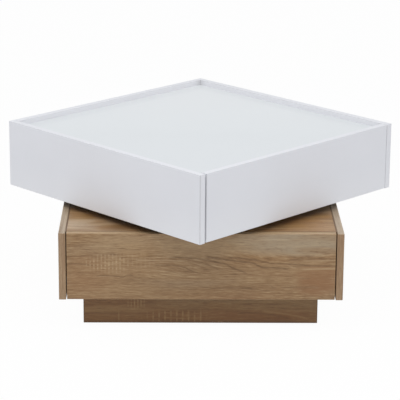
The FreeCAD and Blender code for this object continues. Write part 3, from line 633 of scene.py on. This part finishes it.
def oak(name, seed):
    """Sawn oak decor of one board: bands, lines, fibres, pores, toned patches, strokes and saw marks, with
    painted light and shade.
    """
    look = OAK_LOOKS[name]
    box = board_box(name)
    shader = Shader("oak_" + name)
    place = shader.place()
    (along, across), facing = oak_grain_axes(shader, place, box[1])

    def grain(form, line):
        spot = (shader.times(along, form.along), shader.times(line, form.across), seed + form.shift)
        return shader.noise(shader.vector(*spot), 1.0, form.detail, form.roughness)

    line = across
    for form, reach in ((OAK_DRIFT, DRIFT_REACH), (OAK_RIPPLE, RIPPLE_REACH)):
        line = shader.plus(line, shader.times(shader.minus(grain(form, across), NOISE_MIDDLE), 2 * reach))
    if "sweep" in look:
        line = shader.plus(line, oak_sweep(shader, along, across, look["sweep"]))

    dashes = grain(OAK_DASHES, line)
    lines = shader.blend(DASH_SHARE, grain(OAK_LINES, line), dashes)
    fibre = grain(OAK_FIBRE, line)
    pores = shader.spread(grain(OAK_PORES, line), *PORE_MASK)
    tone = grain(OAK_TONES, line)
    shade = shader.plus(shader.times(grain(OAK_BANDS, line), BAND_WEIGHT), shader.times(lines, LINE_WEIGHT))
    shade = shader.plus(shade, shader.times(fibre, FIBRE_WEIGHT))
    shade = shader.minus(shade, shader.spread(grain(OAK_STREAKS, line), *STREAK_MASK))

    shader.colour = shader.ramp(shader.spread(shade, *SHADE_SPAN), SHADE_RAMP)
    shader.wash(OAK_GREY, shader.spread(tone, *GREY_MASK))
    shader.wash(OAK_RED, shader.spread(tone, *RED_MASK))
    for *spot, colour, strength in look.get("patches", ()):
        shader.wash(colour, oak_patch(shader, along, across, spot), strength)
    # Pale tints on faces looking up are partly edge band and partly painted highlight
    for axis, colour, strength in look.get("edges", ()):
        shader.wash(colour, facing[axis], strength)
    if "flames" in look:
        form, strength = look["flames"]
        flame = grain(form, line)
        shader.wash(OAK_DARK, shader.spread(flame, *DARK_FLAME_MASK), strength)
        shader.wash(OAK_PALE, shader.spread(flame, *PALE_FLAME_MASK), strength)
    # The lines stay visible inside the toned patches
    shader.wash(OAK_DARK, shader.spread(lines, *DARK_LINE_MASK))
    shader.wash(OAK_PALE, shader.spread(lines, *PALE_LINE_MASK))
    ragged = shader.spread(dashes, *STROKE_RAGGED)
    for colour, half_width, strength, points in look.get("strokes", ()):
        stroke = oak_stroke(shader, along, across, half_width, points)
        shader.wash(colour, shader.times(stroke, ragged), strength)
    shader.wash(OAK_DEEP, pores, PORE_STRENGTH)

    height = shader.minus(shader.times(fibre, FIBRE_HEIGHT), shader.times(pores, PORE_HEIGHT))
    for *spot, pitch, strength, rows in look.get("saw", ()):
        broken = shader.spread(grain(SAW_BREAKS, across), *SAW_BREAK_MASK)
        mark = shader.times(oak_saw(shader, along, across, spot, MM * pitch, rows), broken)
        shader.wash(OAK_PALE, mark, strength)
        height = shader.plus(height, shader.times(mark, SAW_HEIGHT))

    edge = edge_distance(shader, board_depths(shader, place, box))
    # The shade factor paints light onto the front and top and shade onto the plinth
    if "shade" in look:
        shader.wash(look["shade"], 1.0, way="MULTIPLY")
    # Painted shade in the joints between boards and the grooves on the top, and a painted contact shadow on
    # the plinth
    if "joint" in look:
        shader.wash(OAK_DEEP, shader.spread(edge, *JOINT_SHADE_REACH), look["joint"])
    if "seam" in look:
        where, strength = look["seam"]
        gap = shader.apart(shader.math("ABSOLUTE", place[X]), MM * where)
        shader.wash(OAK_DEEP, shader.times(shader.spread(gap, *SEAM_SHADE_REACH), facing[Z]), strength)
    wear = shader.times(shader.spread(edge, *OAK_WEAR_REACH), shader.spread(fibre, *OAK_WEAR_FIBRE))
    shader.wash(OAK_PALE, wear, OAK_WEAR)
    shader.set(Base_Color=shader.colour, Roughness=shader.spread(fibre, *OAK_GLOSS))
    shader.bump(height, *OAK_BUMP)
    return shader.material


# White boards: scales of the noises, tones, then spans in metres and the strength at each end
MELAMINE_CLOUD = 7.0
MELAMINE_PEARL = 1100.0
MELAMINE_SCUFF = 18.0
MELAMINE_DULL = 0.975
MELAMINE_GLOSS = (0.36, 0.46)
MELAMINE_BUMP = (0.06, 0.0002)
# The band and hairline along the edges are partly the edge band and partly painted shade; the low reach is
# painted light
EDGE_BAND_AND_SHADE_REACH = (0.0003, 0.0012, 1.0, 0.0)
BAND_SCUFF = (0.35, 0.65, 0.8, 1.0)
EDGE_BAND_AND_SHADE_STRENGTH = 0.14
LOW_REACH = (0.236, 0.300, 0.30, 0.0)
HAIRLINE_REACH = (0.0006, 0.0020, 0.62, 0.0)
HAIRLINE_SIDE = (0.10, 0.20, 1.0, 0.10)

# Rims: how far the inside corner of back and right side is from the middle and how far rounding passes it.
# Then the corner's painted shade, the inside faces' painted light and the tops' painted shade, with heights
# from the floor
RIM_CORNER = 0.285
RIM_INSIDE = 0.0012
CORNER_REACH = (0.001, 0.024, 1.0, 0.0)
CORNER_RISE = (0.369, 0.372)
CORNER_POWER = 1.4
CORNER_STRENGTH = 0.46
RIM_FOOT = 0.3723
RIM_STRENGTH = 0.30
RIM_CREST = 0.3818
CREST_STRENGTH = 0.21

# Tray: spans of the sum of its two coordinates, then of the way to the far rims, for painted light, shade
# and reflection
TRAY_FAR = (-0.10, 0.50, 0.0, 0.55)
TRAY_NEAR = (-0.45, 0.0, 0.60, 0.0)
TRAY_FOOT = (-0.042, 0.0, 0.0, 0.15)

# Spans of cloudy noises and of the sum of two noises
CLOUD_SPAN = (0.30, 0.70)
GLOSS_SPAN = (0.7, 1.3)


def melamine(name):
    """White board, satin and faintly pearled: edge band and painted edge shade as a hairline, painted light
    and shade elsewhere.
    """
    shader = Shader("melamine_" + name)
    place = shader.place(REST_ANGLE)
    spot = shader.vector(*place)
    cloud = shader.noise(spot, MELAMINE_CLOUD, *CLOUDY)
    pearl = shader.noise(spot, MELAMINE_PEARL)
    scuff = shader.noise(spot, MELAMINE_SCUFF)
    depths = board_depths(shader, place, board_box(name, REST_ANGLE))
    shader.colour = shader.tint(
        shader.spread(cloud, *CLOUD_SPAN), dimmed(WHITE_BOARD, MELAMINE_DULL), WHITE_BOARD)
    # Grey band along the edges, partly the edge band and partly painted shade on the rounded edges
    band = shader.spread(edge_distance(shader, depths), *EDGE_BAND_AND_SHADE_REACH)
    shader.wash(EDGE_BAND_AND_SHADE_GREY, shader.times(band, shader.spread(scuff, *BAND_SCUFF)), EDGE_BAND_AND_SHADE_STRENGTH)
    # Painted light: the faces lighten towards their foot
    shader.wash(PAINTED_LOW_LIGHT, shader.spread(place[Z], *LOW_REACH))
    # Hairline on the upright edges, partly edge band and partly painted shade in the gaps, fading towards
    # the right side
    hairline = shader.spread(shader.math("MAXIMUM", depths[X], depths[Y]), *HAIRLINE_REACH)
    shader.wash(EDGE_BAND_AND_SHADE_GREY, shader.times(hairline, shader.spread(place[X], *HAIRLINE_SIDE)))
    # Painted shade darkens the inside corner at the back of the rim
    past = [shader.minus(place[axis], RIM_CORNER) for axis in (X, Y)]
    nearest = shader.math("MAXIMUM", *past)
    inside = shader.math("LESS_THAN", nearest, RIM_INSIDE)
    reach = shader.math("SQRT", shader.plus(*(shader.times(side, side) for side in past)))
    corner = shader.times(shader.spread(reach, *CORNER_REACH), shader.spread(place[Z], *CORNER_RISE))
    corner = shader.math("POWER", shader.times(corner, inside), CORNER_POWER)
    shader.wash(PAINTED_CORNER_SHADE, corner, CORNER_STRENGTH)
    # Painted light makes the far rims lighter on their inside, and painted shade makes all rims greyer on
    # top
    face = shader.times(inside, shader.math("GREATER_THAN", nearest, -RIM_INSIDE))
    face = shader.times(face, shader.math("GREATER_THAN", place[Z], RIM_FOOT))
    shader.wash(PAINTED_RIM_LIGHT, face, RIM_STRENGTH)
    shader.wash(PAINTED_CREST_SHADE, shader.math("GREATER_THAN", place[Z], RIM_CREST), CREST_STRENGTH)
    if name == "upper_tray":
        # Painted shade overall and near, painted light far, and a painted reflection of the far rims at
        # their foot
        shader.wash(PAINTED_TRAY_SHADE, 1.0, way="MULTIPLY")
        depth = shader.plus(place[X], place[Y])
        shader.wash(PAINTED_TRAY_FAR_LIGHT, shader.spread(depth, *TRAY_FAR))
        shader.wash(PAINTED_TRAY_NEAR_SHADE, shader.spread(depth, *TRAY_NEAR))
        shader.wash(PAINTED_RIM_REFLECTION, shader.spread(nearest, *TRAY_FOOT))
    # Painted shade: the underside is dark, deepening the shade in the slot under the box
    if name == "upper_bottom":
        shader.wash(PAINTED_UNDERSIDE_SHADE, shader.math("LESS_THAN", shader.normal()[Z], -FACING))
    gloss = shader.spread(shader.plus(cloud, pearl), *GLOSS_SPAN, *MELAMINE_GLOSS)
    shader.set(Base_Color=shader.colour, Roughness=gloss)
    shader.bump(pearl, *MELAMINE_BUMP)
    return shader.material


# Plain finishes: width of worn edges in metres, strength of the wear and scale of its patches per metre
WEAR_WIDTH = 0.0008
WEAR = 0.55
WEAR_SCALE = 45.0
WEAR_PATCHES = (0.40, 0.62, 0.15, WEAR)
CLOUD_SHARE = 0.02
GRAIN_HEIGHT = 0.0002

# Speckled finishes of slots: name, colour, worn colour, grain per metre, mottle, roughness, bump, metal
SPECKLED = {
    "drawer_board": ("drawer_foil", DRAWER_FOIL, WORN_WOOD, 1200.0, 0.05, (0.42, 0.55), 0.10),
    "drawer_panel": ("panel_lacquer", PANEL_LACQUER, WORN_WOOD, 1500.0, 0.05, (0.40, 0.52), 0.12),
    "runner_metal": ("white_epoxy", EPOXY_WHITE, DULL_STEEL, 700.0, 0.03, (0.30, 0.42), 0.12),
    "bearing_ball": ("polished_steel", POLISHED_STEEL, BARE_STEEL, 300.0, 0.08, (0.08, 0.16), 0.02, 1.0),
    "roller_nylon": ("roller_nylon", NYLON, WORN_NYLON, 800.0, 0.05, (0.36, 0.50), 0.08),
    "cage_plastic": ("cage_plastic", DARK_PLASTIC, WORN_PLASTIC, 900.0, 0.15, (0.40, 0.55), 0.10),
    "glide_plastic": ("glide_plastic", DARK_PLASTIC, WORN_PLASTIC, 900.0, 0.20, (0.42, 0.60), 0.15),
}

# Zinc and beech: scale and stretch of their noises per metre, their darker tone, gloss and bump
SPANGLE_SCALE = 130.0
ROLLING_STRETCH = (25.0, 1400.0, 1.0)
ROLLING_NOISE = (1.0, 2.0, 0.6)
FLECK_STRETCH = (30.0, 500.0, 90.0)
FLECK_SPAN = (0.35, 0.65)
ZINC_DARK = 0.78
ZINC_GLOSS = (0.26, 0.44)
ZINC_BUMP = (0.12, 0.0001)
BEECH_DARK = 0.62
BEECH_GLOSS = (0.3, 0.7, 0.72, 0.58)
BEECH_BUMP = (0.25, 0.0003)


def speckled(name, colour, edge, grain_scale, mottle, roughness, bump, metal=0.0):
    """Finish with a slight mottle, an uneven gloss, a fine raised grain and another colour on its edges."""
    shader = Shader(name)
    place = shader.vector(*shader.place())
    cloud = shader.noise(place, grain_scale * CLOUD_SHARE, *CLOUDY)
    fine = shader.noise(place, grain_scale)
    patchy = shader.noise(place, WEAR_SCALE, *CLOUDY)
    rubbed = shader.times(shader.worn(WEAR_WIDTH), shader.spread(patchy, *WEAR_PATCHES))
    tone = shader.tint(shader.spread(cloud, *CLOUD_SPAN), dimmed(colour, 1.0 - mottle), colour)
    shader.set(
        Base_Color=shader.tint(rubbed, tone, edge),
        Roughness=shader.spread(shader.plus(cloud, fine), *GLOSS_SPAN, *roughness),
        Metallic=metal,
    )
    shader.bump(fine, bump, GRAIN_HEIGHT)
    return shader.material


def zinc_plate(name):
    """Bright zinc: cloudy spangle with fine rolling lines."""
    shader = Shader(name)
    place = shader.place()
    spangle = shader.noise(shader.vector(*place), SPANGLE_SCALE, *CLOUDY)
    lines = shader.noise(shader.stretched(place, ROLLING_STRETCH), *ROLLING_NOISE)
    tone = shader.tint(shader.spread(spangle, *FLECK_SPAN), dimmed(ZINC, ZINC_DARK), ZINC)
    shader.set(
        Base_Color=shader.tint(shader.times(shader.worn(WEAR_WIDTH), WEAR), tone, BARE_STEEL),
        Metallic=1.0,
        Roughness=shader.spread(shader.plus(spangle, lines), *GLOSS_SPAN, *ZINC_GLOSS),
    )
    shader.bump(lines, *ZINC_BUMP)
    return shader.material


def beech(name):
    """Raw beech with short flecks along its grain."""
    shader = Shader(name)
    fleck = shader.noise(shader.stretched(shader.place(), FLECK_STRETCH))
    tone = shader.tint(shader.spread(fleck, *FLECK_SPAN), dimmed(RAW_BEECH, BEECH_DARK), RAW_BEECH)
    shader.set(
        Base_Color=shader.tint(shader.times(shader.worn(WEAR_WIDTH), WEAR), tone, WORN_WOOD),
        Roughness=shader.spread(fleck, *BEECH_GLOSS),
    )
    shader.bump(fleck, *BEECH_BUMP)
    return shader.material


def paint_all():
    slots = {slot: speckled(*form) for slot, form in SPECKLED.items()}
    slots["plain_wood"] = beech("raw_beech")
    slots["zinc_steel"] = zinc_plate("zinc_plate")
    for index, part in enumerate(frame["record"]["subparts"]):
        name, slot = part["node"], part["material_slot"]
        if slot == "oak_board":
            material = oak(name, index * SEED_STEP)
        elif slot == "white_board":
            material = melamine(name)
        else:
            material = slots[slot]
        mesh = NODES[name].data
        mesh.materials.clear()
        mesh.materials.append(material)
    fasteners(slots["zinc_steel"])


# Fasteners: driven heads, threads and recesses on the places and sizes of the frame's plain ones

HEAD_SIDES = 36
THREAD_SIDES = 14
THREAD_STEPS = 4
THREAD_PITCH = 0.9
THREAD_ROOT = 0.70
THREAD_STEEPNESS = 1.6
TIP_LENGTH = 3.0
PLAIN_SHANK = 0.35
LONG_SHANK = 0.030
SMOOTH_ANGLE = math.radians(38)
SAME_PLACE = 0.00002
PLACE_DIGITS = 7
FORM_DIGITS = 5
ARROW_SIDES = 3

# Head profiles, radius and depth as shares of the head's own
PAN_PROFILE = ((0.66, 0.0), (0.80, 0.06), (0.90, 0.16), (0.97, 0.34), (1.0, 0.58), (1.0, 1.0))
FLUSH_PROFILE = ((0.95, 0.0), (1.0, 0.05))

# Cross recess: half length and half width at its mouth and at its floor, as shares of the head's radius
CROSS = ((0.56, 0.15), (0.26, 0.10))
CROSS_DEPTH = 0.75

# Cam lock, in metres; its cross and arrow are shares of its radius, but for the arrow's depth
CAM_CHAMFER = 0.0004
CAM_RIM = 0.0009
CAM_SINK = 0.0004
CAM_CROSS_DEPTH = 0.0028
CAM_CROSS = ((0.48, 0.115), (0.26, 0.08))
CAM_ARROW = (0.62, 0.11, 0.0005)
CAM_POCKET = 0.0036
CAM_POCKET_PAST = 0.0035


def turn_of(name):
    """How far a node is turned about the swivel axis at rest."""
    return REST_ANGLE if name.startswith(("upper_", "swivel_upper")) else 0.0


def separate_solids(name):
    """Vertex places of each solid of a node, along the node's own turned axes."""
    unturn = Matrix.Rotation(-turn_of(name), 3, "Z")
    mesh = NODES[name].data
    keys = [tuple(round(value, PLACE_DIGITS) for value in vertex.co) for vertex in mesh.vertices]
    leader = {key: key for key in keys}

    def top(key):
        while leader[key] != key:
            leader[key] = leader[leader[key]]
            key = leader[key]
        return key

    for edge in mesh.edges:
        first, last = edge.vertices
        leader[top(keys[first])] = top(keys[last])
    solids = {}
    for key in leader:
        solids.setdefault(top(key), []).append(unturn @ Vector(key))
    return list(solids.values())


def axis_vector(axis, sign):
    return Vector([sign * (index == axis) for index in range(3)])


def aimed(place, outward, sideways):
    """Matrix that puts a fastener's Z along outward and its X along sideways."""
    basis = Matrix((sideways, outward.cross(sideways), outward)).transposed()
    return Matrix.Translation(place) @ basis.to_4x4()


def ring(bm, radius, height, sides):
    """Row of vertices round the Z axis; the radius may be a function of the angle."""
    row = []
    for index in range(sides):
        angle = math.tau * index / sides
        reach = radius(angle) if callable(radius) else radius
        row.append(bm.verts.new((reach * math.cos(angle), reach * math.sin(angle), height)))
    return row


def following(row):
    """The next vertex of each vertex of a closed row."""
    return row[1:] + row[:1]


def bridge(bm, first, last):
    """Band of faces between two closed rows of the same count."""
    for corners in zip(first, following(first), following(last), last):
        bm.faces.new(corners)


def close(bm, row, tip):
    """Fan of faces from a closed row to one point."""
    point = bm.verts.new(tip)
    for ends in zip(row, following(row)):
        bm.faces.new((*ends, point))


def closed_edges(bm, row):
    return [bm.edges.get(ends) or bm.edges.new(ends) for ends in zip(row, following(row))]


def pit(bm, mouth, floor, level, depth):
    """Hollow from an outline at the level down to a floor outline; gives the mouth's vertices."""
    upper = [bm.verts.new((x, y, level)) for x, y in mouth]
    lower = [bm.verts.new((x, y, level - depth)) for x, y in floor]
    bridge(bm, upper, lower)
    bmesh.ops.triangle_fill(bm, use_beauty=True, edges=closed_edges(bm, lower))
    return upper


def cross(shares, radius):
    """Outline of a plus sign."""
    reach, half = (share * radius for share in shares)
    corner = [(half, half), (half, reach), (-half, reach)]
    outline = []
    for quarter in range(4):
        turn = Matrix.Rotation(quarter * math.pi / 2, 2)
        outline.extend(tuple(turn @ Vector(point)) for point in corner)
    return outline


def thread(bm, row, size):
    """Shank with a helical thread and a point, from a row of vertices at the head's neck down to the tip."""
    start = -size.neck
    end = -size.length
    tip = end + TIP_LENGTH * size.shank
    if size.length > LONG_SHANK:
        start += PLAIN_SHANK * (end - start)
        plain = ring(bm, size.shank, start, THREAD_SIDES)
        bridge(bm, row, plain)
        row = plain
    pitch = THREAD_PITCH * size.shank
    steps = math.ceil((start - end) / pitch * THREAD_STEPS)
    for step in range(1, steps):
        height = start + (end - start) * step / steps
        taper = min(1.0, (height - end) / (tip - end))
        fade = min(1.0, step / THREAD_STEPS)

        def reach(angle, height=height, taper=taper, fade=fade):
            phase = (height / pitch + angle / math.tau) % 1.0
            crest = max(0.0, 1.0 - THREAD_STEEPNESS * abs(2.0 * phase - 1.0))
            return size.shank * taper * (1.0 - fade * (1.0 - THREAD_ROOT) * (1.0 - crest))

        lower = ring(bm, reach, height, THREAD_SIDES)
        bridge(bm, row, lower)
        row = lower
    close(bm, row, (0.0, 0.0, end))


ScrewForm = namedtuple("ScrewForm", "pan head neck shank length")


def screw_form(solid, axis, sign):
    """Sizes of a plain screw, read from its vertices; sign is the way its head looks along the axis."""
    box = spans(solid)
    centre = [sum(span) / 2 for span in box]
    top = box[axis][1] if sign > 0 else -box[axis][0]
    length = box[axis][1] - box[axis][0]
    marks = []
    for point in solid:
        reach = math.sqrt(sum((point[other] - centre[other]) ** 2 for other in range(3) if other != axis))
        marks.append((top - sign * point[axis], reach))
    head = max(reach for depth, reach in marks)
    shank = max(reach for depth, reach in marks if depth > length - SAME_PLACE)
    neck = min(depth for depth, reach in marks if abs(reach - shank) < SAME_PLACE and depth > SAME_PLACE)
    pan = any(reach > head - SAME_PLACE and depth > SAME_PLACE for depth, reach in marks)
    return ScrewForm(pan, *(round(value, FORM_DIGITS) for value in (head, neck, shank, length)))


def screw(size):
    """Mesh of one screw, its head's outer face at the origin and its head looking up."""
    bm = bmesh.new()
    profile = PAN_PROFILE if size.pan else FLUSH_PROFILE
    rows = [ring(bm, share * size.head, -depth * size.neck, HEAD_SIDES) for share, depth in profile]
    for first, last in zip(rows, rows[1:]):
        bridge(bm, first, last)
    mouth = pit(bm, *(cross(shares, size.head) for shares in CROSS), 0.0, CROSS_DEPTH * size.neck)
    bmesh.ops.triangle_fill(bm, use_beauty=True, edges=closed_edges(bm, rows[0]) + closed_edges(bm, mouth))
    neck = ring(bm, size.shank, -size.neck, THREAD_SIDES)
    bmesh.ops.bridge_loops(bm, edges=closed_edges(bm, rows[-1]) + closed_edges(bm, neck))
    thread(bm, neck, size)
    return finished(bm, "screw")


CamForm = namedtuple("CamForm", "radius depth pocket")


def cam_lock(size):
    """Mesh of one cam lock, its face at the origin and looking up, with its bolt coming in along X."""
    bm = bmesh.new()
    outer = ring(bm, size.radius - CAM_CHAMFER, 0.0, HEAD_SIDES)
    rim = ring(bm, size.radius - CAM_CHAMFER - CAM_RIM, 0.0, HEAD_SIDES)
    face = ring(bm, size.radius - CAM_CHAMFER - CAM_RIM - CAM_SINK, -CAM_SINK, HEAD_SIDES)
    bridge(bm, face, rim)
    bridge(bm, rim, outer)
    walls = [outer]
    for reach, height in ((0.0, -CAM_CHAMFER), (0.0, CAM_CHAMFER - size.depth), (CAM_CHAMFER, -size.depth)):
        walls.append(ring(bm, size.radius - reach, height, HEAD_SIDES))
        bridge(bm, walls[-2], walls[-1])
    close(bm, walls[-1], (0.0, 0.0, -size.depth))
    recess = pit(bm, *(cross(shares, size.radius) for shares in CAM_CROSS), -CAM_SINK, CAM_CROSS_DEPTH)
    where, reach, sink = CAM_ARROW
    arrow = []
    for index in range(ARROW_SIDES):
        turn = math.tau * index / ARROW_SIDES
        arrow.append((size.radius * (where + reach * math.cos(turn)), size.radius * reach * math.sin(turn)))
    notch = pit(bm, arrow, arrow, -CAM_SINK, sink)
    rows = [edge for row in (face, recess, notch) for edge in closed_edges(bm, row)]
    bmesh.ops.triangle_fill(bm, use_beauty=True, edges=rows)
    body = shown("cam_lock", finished(bm, "cam_lock"))

    cutter = bmesh.new()
    along = Matrix.Rotation(math.pi / 2, 4, "Y")
    reach = size.radius + CAM_POCKET_PAST + CAM_CHAMFER
    centre = Matrix.Translation((reach / 2 - CAM_POCKET_PAST, 0.0, size.pocket))
    bmesh.ops.create_cone(cutter, cap_ends=True, segments=HEAD_SIDES, radius1=CAM_POCKET, radius2=CAM_POCKET,
                          depth=reach, matrix=centre @ along)
    pocket = shown("cam_pocket", finished(cutter, "cam_pocket"))
    cut = body.modifiers.new("pocket", "BOOLEAN")
    cut.operation = "DIFFERENCE"
    cut.object = pocket
    bpy.context.view_layer.update()
    mesh = bpy.data.meshes.new_from_object(body.evaluated_get(bpy.context.evaluated_depsgraph_get()))
    for piece in (body, pocket):
        bpy.data.objects.remove(piece)
    return mesh


def finished(bm, name):
    bmesh.ops.recalc_face_normals(bm, faces=bm.faces)
    mesh = bpy.data.meshes.new(name)
    bm.to_mesh(mesh)
    bm.free()
    return mesh


def screw_places(name):
    """Form and place of each screw of a node."""
    for solid in separate_solids(name):
        box, centre, lengths = measured(solid)
        axis = lengths.index(max(lengths))
        reach = {}
        for sign, level in ((-1, box[axis][0]), (1, box[axis][1])):
            ends = [point for point in solid if abs(point[axis] - level) < SAME_PLACE]
            reach[sign] = max((point - centre).length for point in ends)
        sign = max(reach, key=reach.get)
        head = centre.copy()
        head[axis] = box[axis][1] if sign > 0 else box[axis][0]
        outward = axis_vector(axis, sign)
        yield screw_form(solid, axis, sign), aimed(head, outward, axis_vector((axis + 1) % 3, 1))


def cam_places(name):
    """Form and place of each cam lock of a node."""
    for solid in separate_solids(name):
        box, centre, lengths = measured(solid)
        axis = lengths.index(min(lengths))
        radius = max(lengths) / 2
        inner = [point for point in solid if SAME_PLACE < point[axis] - box[axis][0]
                 and SAME_PLACE < box[axis][1] - point[axis]]
        level = sum(spans(inner)[axis]) / 2
        sign = 1 if box[axis][1] - level > level - box[axis][0] else -1
        face = centre.copy()
        face[axis] = box[axis][1] if sign > 0 else box[axis][0]
        flat = [point - centre for point in inner]
        for offset in flat:
            offset[axis] = 0.0
        mouth = sum((offset for offset in flat if offset.length > radius - SAME_PLACE), Vector())
        side = max((other for other in range(3) if other != axis), key=lambda other: abs(mouth[other]))
        sideways = axis_vector(side, 1 if mouth[side] > 0 else -1)
        sizes = (radius, lengths[axis], sign * (level - face[axis]))
        form = CamForm(*(round(value, FORM_DIGITS) for value in sizes))
        yield form, aimed(face, axis_vector(axis, sign), sideways)


def fasteners(material):
    bodies = frame["record"]["behaviour"]["bodies"]
    made = {}
    for part in frame["record"]["subparts"]:
        name = part["node"]
        if name.endswith("_screws"):
            make, places = screw, screw_places(name)
        elif name.endswith("_cam_locks"):
            make, places = cam_lock, cam_places(name)
        else:
            continue
        bm = bmesh.new()
        turn = Matrix.Rotation(turn_of(name), 4, "Z")
        for form, place in places:
            if form not in made:
                made[form] = make(form)
            before = len(bm.verts)
            bm.from_mesh(made[form])
            bm.verts.ensure_lookup_table()
            bmesh.ops.transform(bm, matrix=turn @ place, verts=bm.verts[before:])
        mesh = bpy.data.meshes.new(name + "_driven")
        bm.to_mesh(mesh)
        bm.free()
        mesh.shade_smooth()
        mesh.set_sharp_from_angle(angle=SMOOTH_ANGLE)
        mesh.materials.append(material)
        piece = shown(name + "_driven", mesh)
        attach(piece, next(body for body, nodes in bodies.items() if name in nodes))
        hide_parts(name)


# Stage

FLOOR_SIZE = 12.0
FLOOR_SHOW = 0.97
FLOOR_ROUGHNESS = 0.8
FLOOR_SPECULAR = 0.1
WORLD_STRENGTH = 0.53
WORLD_COLOUR = (0.95, 0.975, 1.0, 1.0)
LAMP_DISTANCE = 3.4
LAMPS = {
    # name: azimuth from straight ahead, elevation, side length and brightness on a face turned to the lamp
    "left": (-46.0, 55.0, 1.8, 0.275),
    "right": (44.0, 55.0, 1.8, 0.255),
}
LAMP_AIM = Vector((0.0, 0.0, 0.2))


def floor():
    mesh = bpy.data.meshes.new("floor")
    half = FLOOR_SIZE / 2
    corners = [(-half, -half, 0), (half, -half, 0), (half, half, 0), (-half, half, 0)]
    mesh.from_pydata(corners, [], [(0, 1, 2, 3)])
    piece = shown("floor", mesh)
    shader = Shader("floor")
    shader.set(Base_Color=FLOOR, Roughness=FLOOR_ROUGHNESS, Specular_IOR_Level=FLOOR_SPECULAR)
    glow = shader.add("ShaderNodeEmission", Color=WHITE, Strength=1.0)
    share = shader.times(shader.seen_directly(), FLOOR_SHOW)
    mixed = shader.mixed(share, shader.surface.outputs[0], glow.outputs[0])
    shader.put(shader.tree.nodes["Material Output"].inputs["Surface"], mixed)
    mesh.materials.append(shader.material)
    piece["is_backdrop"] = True


def world():
    sky = bpy.data.worlds.new("studio")
    bpy.context.scene.world = sky
    sky.use_nodes = True
    sky.node_tree.nodes.clear()
    tree = NodeTree(sky.node_tree)
    soft = tree.add("ShaderNodeBackground", Color=WORLD_COLOUR, Strength=WORLD_STRENGTH)
    white = tree.add("ShaderNodeBackground", Color=WHITE)
    mixed = tree.mixed(tree.seen_directly(), soft.outputs[0], white.outputs[0])
    tree.add("ShaderNodeOutputWorld", Surface=mixed)


def looking_at(aim, azimuth, elevation, distance):
    """Place of a lamp or camera; azimuth 0 is straight ahead."""
    turn = Matrix.Rotation(math.radians(azimuth), 4, "Z")
    tilt = Matrix.Rotation(math.pi / 2 - math.radians(elevation), 4, "X")
    return Matrix.Translation(aim) @ turn @ tilt @ Matrix.Translation((0.0, 0.0, distance))


def lamps():
    for name, (azimuth, elevation, size, level) in LAMPS.items():
        lamp = bpy.data.lights.new(name, "AREA")
        lamp.shape = "SQUARE"
        lamp.size = size
        lamp.energy = level * (math.pi * LAMP_DISTANCE) ** 2
        shown(name, lamp).matrix_world = looking_at(LAMP_AIM, azimuth, elevation, LAMP_DISTANCE)


def camera():
    data = bpy.data.cameras.new("camera")
    data.lens = CAMERA_LENS
    data.sensor_width = CAMERA_SENSOR
    data.clip_end = CAMERA_REACH
    piece = shown("camera", data)
    yaw = Matrix.Rotation(math.radians(CAMERA_YAW), 4, "Z")
    roll = Matrix.Rotation(math.radians(CAMERA_ROLL), 4, "Z")
    piece.matrix_world = yaw @ looking_at(CAMERA_TARGET, 0.0, CAMERA_PITCH, CAMERA_DISTANCE) @ roll
    bpy.context.scene.camera = piece


paint_all()
floor()
world()
lamps()
camera()
bpy.context.scene.view_settings.view_transform = "Standard"

boxes = {"cad": CAD_BOUNDS, "visual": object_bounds()}
{name: [list(corner) for corner in box] for name, box in boxes.items()}
